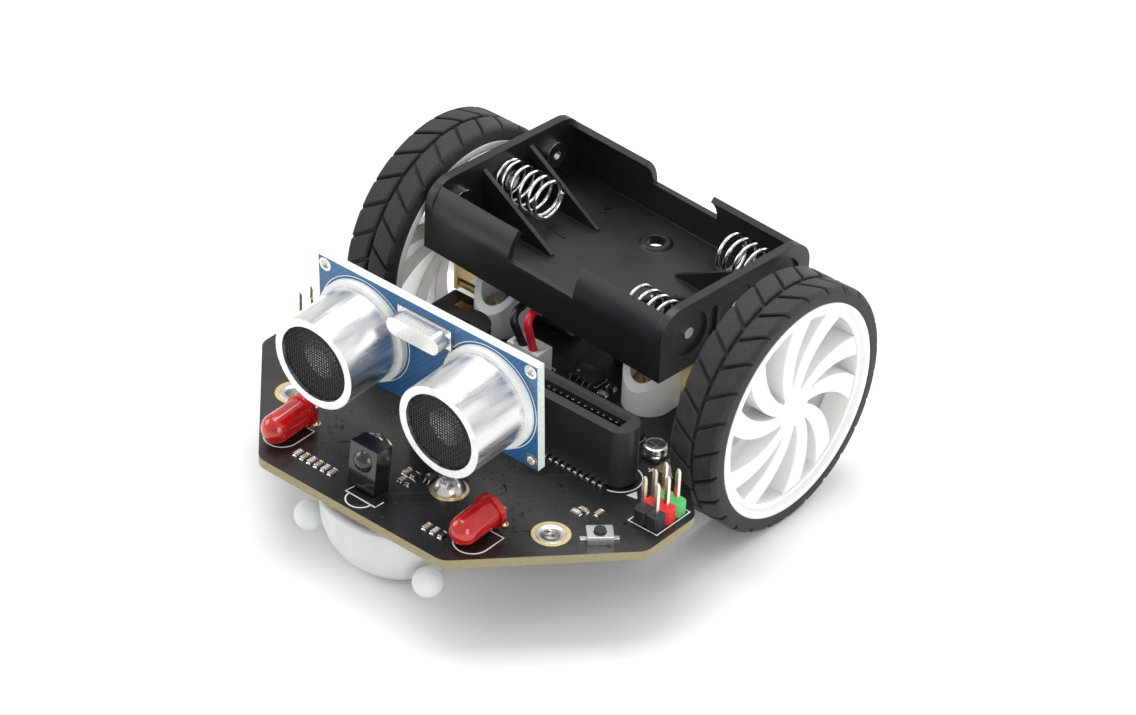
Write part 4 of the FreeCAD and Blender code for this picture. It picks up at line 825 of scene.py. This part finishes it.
# ------------------------------------------------------------------ printing and copper on the board
PRINT_LOW, PRINT_HIGH = BOARD_TOP - 0.01, BOARD_TOP + 0.035
PRINT_WIDTH = 0.24

# where tracks may run: board sides, back edge, cut front corners, narrowing steps and axle notches
TRACK_SIDE_X = 39.3
TRACK_MARGIN = 1.2
TRACK_BACK_Y = 20.3
CORNER_WAY = (0.737, 0.676)
CORNER_REACH = 55.4
# behind the first, tracks stay within the second
NARROWINGS = ((-28.5, 34.0), (-23.4, 26.8), (14.5, 22.0))
NOTCH_HALF_Y = 7.4
NOTCH_X = 19.2

TRACK_SEED = 11
TRACK_TRIES = 420
TRACK_START_X = 39
TRACK_START_BACK_Y = 20
TRACK_RUN = (1.2, 5.5)
TRACK_WIDTHS = (0.18, 0.18, 0.35)
TRACK_SUNK = 0.01
TRACK_PROUD = 0.012
VIA_PROUD = 0.028


def on_board(x, y):
    """Whether a track may pass here: inside the outline and clear of the axle notches."""
    x = abs(x)
    if x > TRACK_SIDE_X or y < FRONT_Y + TRACK_MARGIN or y > TRACK_BACK_Y:
        return False
    if CORNER_WAY[0] * x - CORNER_WAY[1] * y > CORNER_REACH:
        return False
    if any(y > step_y and x > step_x for step_y, step_x in NARROWINGS):
        return False
    return not (abs(y) < NOTCH_HALF_Y and x > NOTCH_X)


def make_tracks():
    """Copper tracks and vias that show through the mask, in seeded short runs."""
    draw = random.Random(TRACK_SEED)
    tracks = Shape()
    vias = Shape()
    low = BOARD_TOP - TRACK_SUNK
    for _ in range(TRACK_TRIES):
        x = draw.uniform(-TRACK_START_X, TRACK_START_X)
        y = draw.uniform(FRONT_Y, TRACK_START_BACK_Y)
        heading = draw.randrange(8)
        points = [(x, y)]
        for _ in range(draw.randint(2, 4)):
            length = draw.uniform(*TRACK_RUN)
            x += length * math.cos(heading * math.pi / 4)
            y += length * math.sin(heading * math.pi / 4)
            points.append((x, y))
            heading += draw.choice((-1, 1))
        if not all(on_board(*point) for point in points):
            continue
        tracks.ribbon(points, draw.choice(TRACK_WIDTHS), low, BOARD_TOP + TRACK_PROUD)
        for via in (points[0], points[-1]):
            vias.washer(*via, 0.12, 0.3, low, BOARD_TOP + VIA_PROUD, 0, 12)
    piece("board_tracks", tracks, CHASSIS, [MATERIALS["board_mask"]])
    piece("board_vias", vias, CHASSIS, [MATERIALS["black_plastic"]])


def rectangle(x, y, half_x, half_y):
    """The corners of a rectangle."""
    return [(x - half_x, y - half_y), (x + half_x, y - half_y),
            (x + half_x, y + half_y), (x - half_x, y + half_y)]


# middle of a lamp's printed outline, and its straight back edge
LAMP_OUTLINES = ((-20.5, -51.7), (19.6, -52.0))
LAMP_OUTLINE_Y = -56.1
LAMP_OUTLINE_R = 2.95
LAMP_OUTLINE_HALF = 2.9
RECEIVER_FRAME = ((-3.2, -57.7), (-3.5, -59.7), (2.8, -59.8), (2.9, -57.9))
RECEIVER_ARC = (-0.4, -59.75, 2.3)
SLOT_ARC_X = 25.6
SLOT_ARC_R = 3.75
SLOT_ARC_REACH = 80
SERVO_FRAME_HALF = (2.85, 4.1)
FIRST_PIN_MARK = ((29.3, -30.6), (31.2, -30.2), (29.9, -28.7))
CHIP_FRAME_WIDTH = 0.14
# chips no longer than this have no printed frame
UNFRAMED_LENGTH = 1.4
CHIP_FRAME_GROW, CHIP_FRAME_SHRINK = 0.35, 0.25
SOCKET_FRAME_GAP = 0.5
BUZZER_PRINT_R = 4.65
PLUS_MARKS = ((-11.6, -19.6), (28.0, -22.8))
PLUS_REACH = 0.6


def make_print():
    """The white printed outlines round the parts, the first-pin mark and the plus signs."""
    shape = Shape()

    def line(points, closed=False, width=PRINT_WIDTH):
        shape.ribbon(points, width, PRINT_LOW, PRINT_HIGH, closed)

    for x, back_y in LAMP_OUTLINES:
        front = arc(x, LAMP_OUTLINE_Y, LAMP_OUTLINE_R, 0, -180, 24)
        line([(x + LAMP_OUTLINE_HALF, back_y), *front, (x - LAMP_OUTLINE_HALF, back_y)], closed=True)
    line(RECEIVER_FRAME)
    line(arc(*RECEIVER_ARC, -180, 0, 20))
    slot_low, slot_high = node_box("edge_connector")
    slot_y = (slot_low.y + slot_high.y) / 2
    base_low, base_high = node_box("servo_base_ground")[0], node_box("servo_base_signal")[1]
    middle_y = (base_low.y + base_high.y) / 2
    for side in (-1, 1):
        facing = 0 if side > 0 else 180
        line(arc(side * SLOT_ARC_X, slot_y, SLOT_ARC_R, facing - SLOT_ARC_REACH, facing + SLOT_ARC_REACH, 20))
        line(rectangle(side * (base_high.x - PIN_PITCH), middle_y, *SERVO_FRAME_HALF), closed=True)
    shape.prism(FIRST_PIN_MARK, PRINT_LOW, PRINT_HIGH)
    framed = [chip for chip in CHIPS if chip[2] > UNFRAMED_LENGTH]
    for x, y, length, width, _, _ in framed:
        frame_half = (length / 2 + CHIP_FRAME_GROW, width / 2 - CHIP_FRAME_SHRINK)
        line(rectangle(x, y, *frame_half), closed=True, width=CHIP_FRAME_WIDTH)
    socket_low, socket_high = node_box("battery_socket")
    middle = (socket_low + socket_high) / 2
    half = (socket_high - socket_low) / 2
    line(rectangle(middle.x, middle.y, half.x + SOCKET_FRAME_GAP, half.y + SOCKET_FRAME_GAP), closed=True)
    buzzer = node_middle("buzzer")
    line(arc(buzzer.x, buzzer.y, BUZZER_PRINT_R, 0, 360, 48)[:-1], closed=True)
    for x, y in PLUS_MARKS:
        line([(x - PLUS_REACH, y), (x + PLUS_REACH, y)], width=0.2)
        line([(x, y - PLUS_REACH), (x, y + PLUS_REACH)], width=0.2)
    piece("board_print", shape, CHASSIS, [MATERIALS["print_white"]])


# middle of each red lamp and the back of its body
LAMPS = ((-20.2, -51.2), (18.9, -50.6))
LAMP_LEAD_X = 1.27
LAMP_PAD_BACK = 1.35
# height above the board and radius of the solder round a lamp lead
LEAD_JOINT = ((0.2, 0.5), (0.5, 0.34), (0.7, 0.28))
SCREW_PAD_INNER, SCREW_PAD_OUTER = 1.7, 3.15
BRACKET_PADS = ((23.7, -8.9), (23.7, 8.9))
BRACKET_PAD_HALF = (1.3, 0.8)
PAD_PROUD = 0.03


def make_pads():
    """Gold rings under the caster screws' heads, pads by the brackets and at the lamps' leads."""
    shape = Shape()
    low, high = PRINT_LOW, BOARD_TOP + PAD_PROUD
    screws_low, screws_high = node_box("caster_screws")
    screw_r = (screws_high.y - screws_low.y) / 2
    screw_y = (screws_low.y + screws_high.y) / 2
    for side in (-1, 1):
        screw_x = side * (screws_high.x - screw_r)
        shape.washer(screw_x, screw_y, SCREW_PAD_INNER, SCREW_PAD_OUTER, low, high)
        for x, y in BRACKET_PADS:
            shape.prism(rectangle(side * x, y, *BRACKET_PAD_HALF), low, high)
    joint = [(low, 0.6)] + [(BOARD_TOP + rise, radius) for rise, radius in LEAD_JOINT]
    for x, back_y in LAMPS:
        for dx in (-LAMP_LEAD_X, LAMP_LEAD_X):
            shape.washer(x + dx, back_y + LAMP_PAD_BACK, 0.3, 0.75, low, high, 0, 20)
            shape.lathe(joint, (x + dx, back_y + LAMP_PAD_BACK, 0), (0, 0, 1), 14)
    piece("board_pads", shape, CHASSIS, [MATERIALS["gold_pad"]])


# ------------------------------------------------------------------ lamps
LAMP_AXIS_RISE = 2.9
POST_HALF = 0.26
PLATE_HALF = 0.24
# each post's place across, length forwards and half width at its end
LAMP_POSTS = ((-1.0, 4.2, 0.85), (1.0, 4.6, 0.5))
CUP_X, CUP_BACK = -0.4, 4.1
CUP_PROFILE = ((0, 0.5), (0.5, 0.85), (0.55, 0.75), (0.2, 0.4))


def make_lamp_frames():
    """The lead frame inside each red lamp: a post with a cup and a post with a flag."""
    shape = Shape()
    z = BOARD_TOP + LAMP_AXIS_RISE
    for x, back_y in LAMPS:
        for dx, reach, wide in LAMP_POSTS:
            rings = []
            sections = ((0.2, POST_HALF), (reach - 1.6, POST_HALF), (reach - 0.9, wide), (reach, wide))
            for along, half in sections:
                y = back_y - along
                rings.append([(x + dx + sx * half, y, z + sz * PLATE_HALF) for sx, sz in
                              ((-1, -1), (1, -1), (1, 1), (-1, 1))])
            shape.loft(rings)
        shape.lathe(CUP_PROFILE, (x + CUP_X, back_y - CUP_BACK, z), (0, -1, 0), 18)
    piece("lamp_frames", shape, CHASSIS, [MATERIALS["tinned"]])


# ------------------------------------------------------------------ battery holder
HOLDER_CENTRE = Vector((-1.0, 2.0, 0))
HOLDER_TURN = math.radians(-4.0)
HOLDER_HALF_L = 26.5
HOLDER_END = 1.6
CELL_PITCH = 10.9
CELL_Z = node_middle("battery_springs").z
FLOOR_TOP = node_box("battery_holder")[0].z + 1.2
SPRING_RADIUS = 3.3
SPRING_WIRE = 0.32
SPRING_TURNS = 6.0
SPRING_LENGTH = 9.5
SPRING_STEPS = 28
SPRING_WALL_GAP = 0.05
# shares of the wire where the closed first turn ends, and of the open turns after it
CLOSED_SHARE, OPEN_SHARE = 0.13, 0.74
# which end each spring is at, and its cell's place across
SPRINGS = ((-1, 0.0), (1, -CELL_PITCH), (1, CELL_PITCH))
MARK_X = 12.5
MARK_REACH = 1.3
MARK_WIDTH = 0.5
MARK_SUNK, MARK_PROUD = 0.02, 0.16


def on_holder(point):
    """A point of the square holder where it is really stuck."""
    return Matrix.Rotation(HOLDER_TURN, 3, "Z") @ point + HOLDER_CENTRE


def make_spring_coils():
    """Three coil springs with a closed turn at each end."""
    shape = Shape()
    wall = HOLDER_HALF_L - HOLDER_END - SPRING_WIRE - SPRING_WALL_GAP
    steps = int(SPRING_TURNS * SPRING_STEPS)
    for side, y in SPRINGS:
        path = []
        for i in range(steps + 1):
            share = i / steps
            eased = min(max((share - CLOSED_SHARE) / OPEN_SHARE, 0.0), 1.0)
            along = eased * (SPRING_LENGTH - 3 * SPRING_WIRE) + share * 2 * SPRING_WIRE
            angle = 2 * math.pi * SPRING_TURNS * share
            path.append((side * (wall - along), y + SPRING_RADIUS * math.cos(angle),
                         CELL_Z + SPRING_RADIUS * math.sin(angle)))
        shape.tube(path, SPRING_WIRE, 10)
    shape.turned(on_holder)
    piece("spring_coils", shape, CHASSIS, [MATERIALS["spring_steel"]], ["battery_springs"])


def make_holder_marks():
    """Raised plus and minus signs on the holder's floor."""
    shape = Shape()
    low, high = FLOOR_TOP - MARK_SUNK, FLOOR_TOP + MARK_PROUD
    for y, flip in ((-CELL_PITCH, 1), (0.0, -1), (CELL_PITCH, 1)):
        minus, plus = flip * MARK_X, -flip * MARK_X
        for x in (minus, plus):
            shape.ribbon([(x - MARK_REACH, y), (x + MARK_REACH, y)], MARK_WIDTH, low, high)
        shape.ribbon([(plus, y - MARK_REACH), (plus, y + MARK_REACH)], MARK_WIDTH, low, high)
    shape.turned(on_holder)
    piece("holder_marks", shape, CHASSIS, [MATERIALS["holder_plastic"]])


# ------------------------------------------------------------------ floor, light and camera
CAMERA_AZIMUTH = math.radians(38.67)
CAMERA_ELEVATION = math.radians(35.18)
CAMERA_ROLL = math.radians(2.74)
CAMERA_DISTANCE = 698.58
CAMERA_LENS = 135.11
CAMERA_TARGET = Vector((-2.38, -7.22, 15.49))


SENSOR_WIDTH = 36.0
FLOOR_REACH = 2500.0
WORLD_STRENGTH = 0.76
# name, place, size and power
LIGHTS = (("top_box", (-120, 80, 520), (420, 320), 1.75), ("left_box", (-480, -220, 260), (300, 300), 0.8),
          ("right_box", (420, -260, 200), (200, 320), 0.7), ("back_box", (120, 480, 260), (420, 200), 1.1))
LIGHT_TARGET = (0, 0, 15)


def camera_axes():
    """The camera's right, up and forward directions."""
    back = Vector((math.sin(CAMERA_AZIMUTH) * math.cos(CAMERA_ELEVATION),
                   -math.cos(CAMERA_AZIMUTH) * math.cos(CAMERA_ELEVATION), math.sin(CAMERA_ELEVATION)))
    forward = -back
    right = forward.cross(Vector((0, 0, 1))).normalized()
    up = right.cross(forward)
    cosine, sine = math.cos(CAMERA_ROLL), math.sin(CAMERA_ROLL)
    return right * cosine + up * sine, up * cosine - right * sine, forward


def make_camera():
    right, up, forward = camera_axes()
    data = bpy.data.cameras.new("camera")
    data.sensor_width = SENSOR_WIDTH
    data.lens = CAMERA_LENS
    made = bpy.data.objects.new("camera", data)
    bpy.context.scene.collection.objects.link(made)
    made.matrix_world = Matrix((right, up, -forward)).transposed().to_4x4()
    made.location = (CAMERA_TARGET + ORIGIN - forward * CAMERA_DISTANCE) * MM
    bpy.context.scene.camera = made


def make_floor():
    """A large pale sheet under the robot."""
    shape = Shape()
    corners = rectangle(0, 0, FLOOR_REACH, FLOOR_REACH)
    shape.add([(x, y, 0) for x, y in corners], [(0, 1, 2, 3)])
    mesh = bpy.data.meshes.new("floor")
    mesh.from_pydata([point * MM for point in shape.points], [], shape.faces)
    mesh.materials.append(finish("floor_paper", (0.93, 0.93, 0.93), 0.75, 0.01, 30.0, 0.02, 0.1))
    made = bpy.data.objects.new("floor", mesh)
    bpy.context.scene.collection.objects.link(made)


def area_light(name, place, size, power):
    """A soft oblong light turned to the robot; place and size are in millimetres."""
    data = bpy.data.lights.new(name, "AREA")
    data.shape = "RECTANGLE"
    data.size, data.size_y = size[0] * MM, size[1] * MM
    data.energy = power
    made = bpy.data.objects.new(name, data)
    bpy.context.scene.collection.objects.link(made)
    made.location = Vector(place) * MM
    made.rotation_mode = "QUATERNION"
    made.rotation_quaternion = (Vector(LIGHT_TARGET) - Vector(place)).to_track_quat("-Z", "Y")


def make_lights():
    """A bright even surround with a large box overhead and one on the left, the right and the back."""
    world = bpy.data.worlds.new("surround")
    world.use_nodes = True
    world.node_tree.nodes["Background"].inputs["Color"].default_value = (1, 1, 1, 1)
    world.node_tree.nodes["Background"].inputs["Strength"].default_value = WORLD_STRENGTH
    bpy.context.scene.world = world
    for light in LIGHTS:
        area_light(*light)


dress_nodes()
make_tyres()
make_sonar_weave()
make_sonar_throats()
make_sonar_print()
make_sonar_back_chips()
make_small_parts()
make_chips()
make_capacitor()
make_solder_fillets()
make_servo_headers()
make_nose_inserts()
make_tracks()
make_print()
make_pads()
make_lamp_frames()
make_spring_coils()
make_holder_marks()
make_floor()
make_lights()
make_camera()
bpy.context.scene.view_settings.view_transform = "Standard"
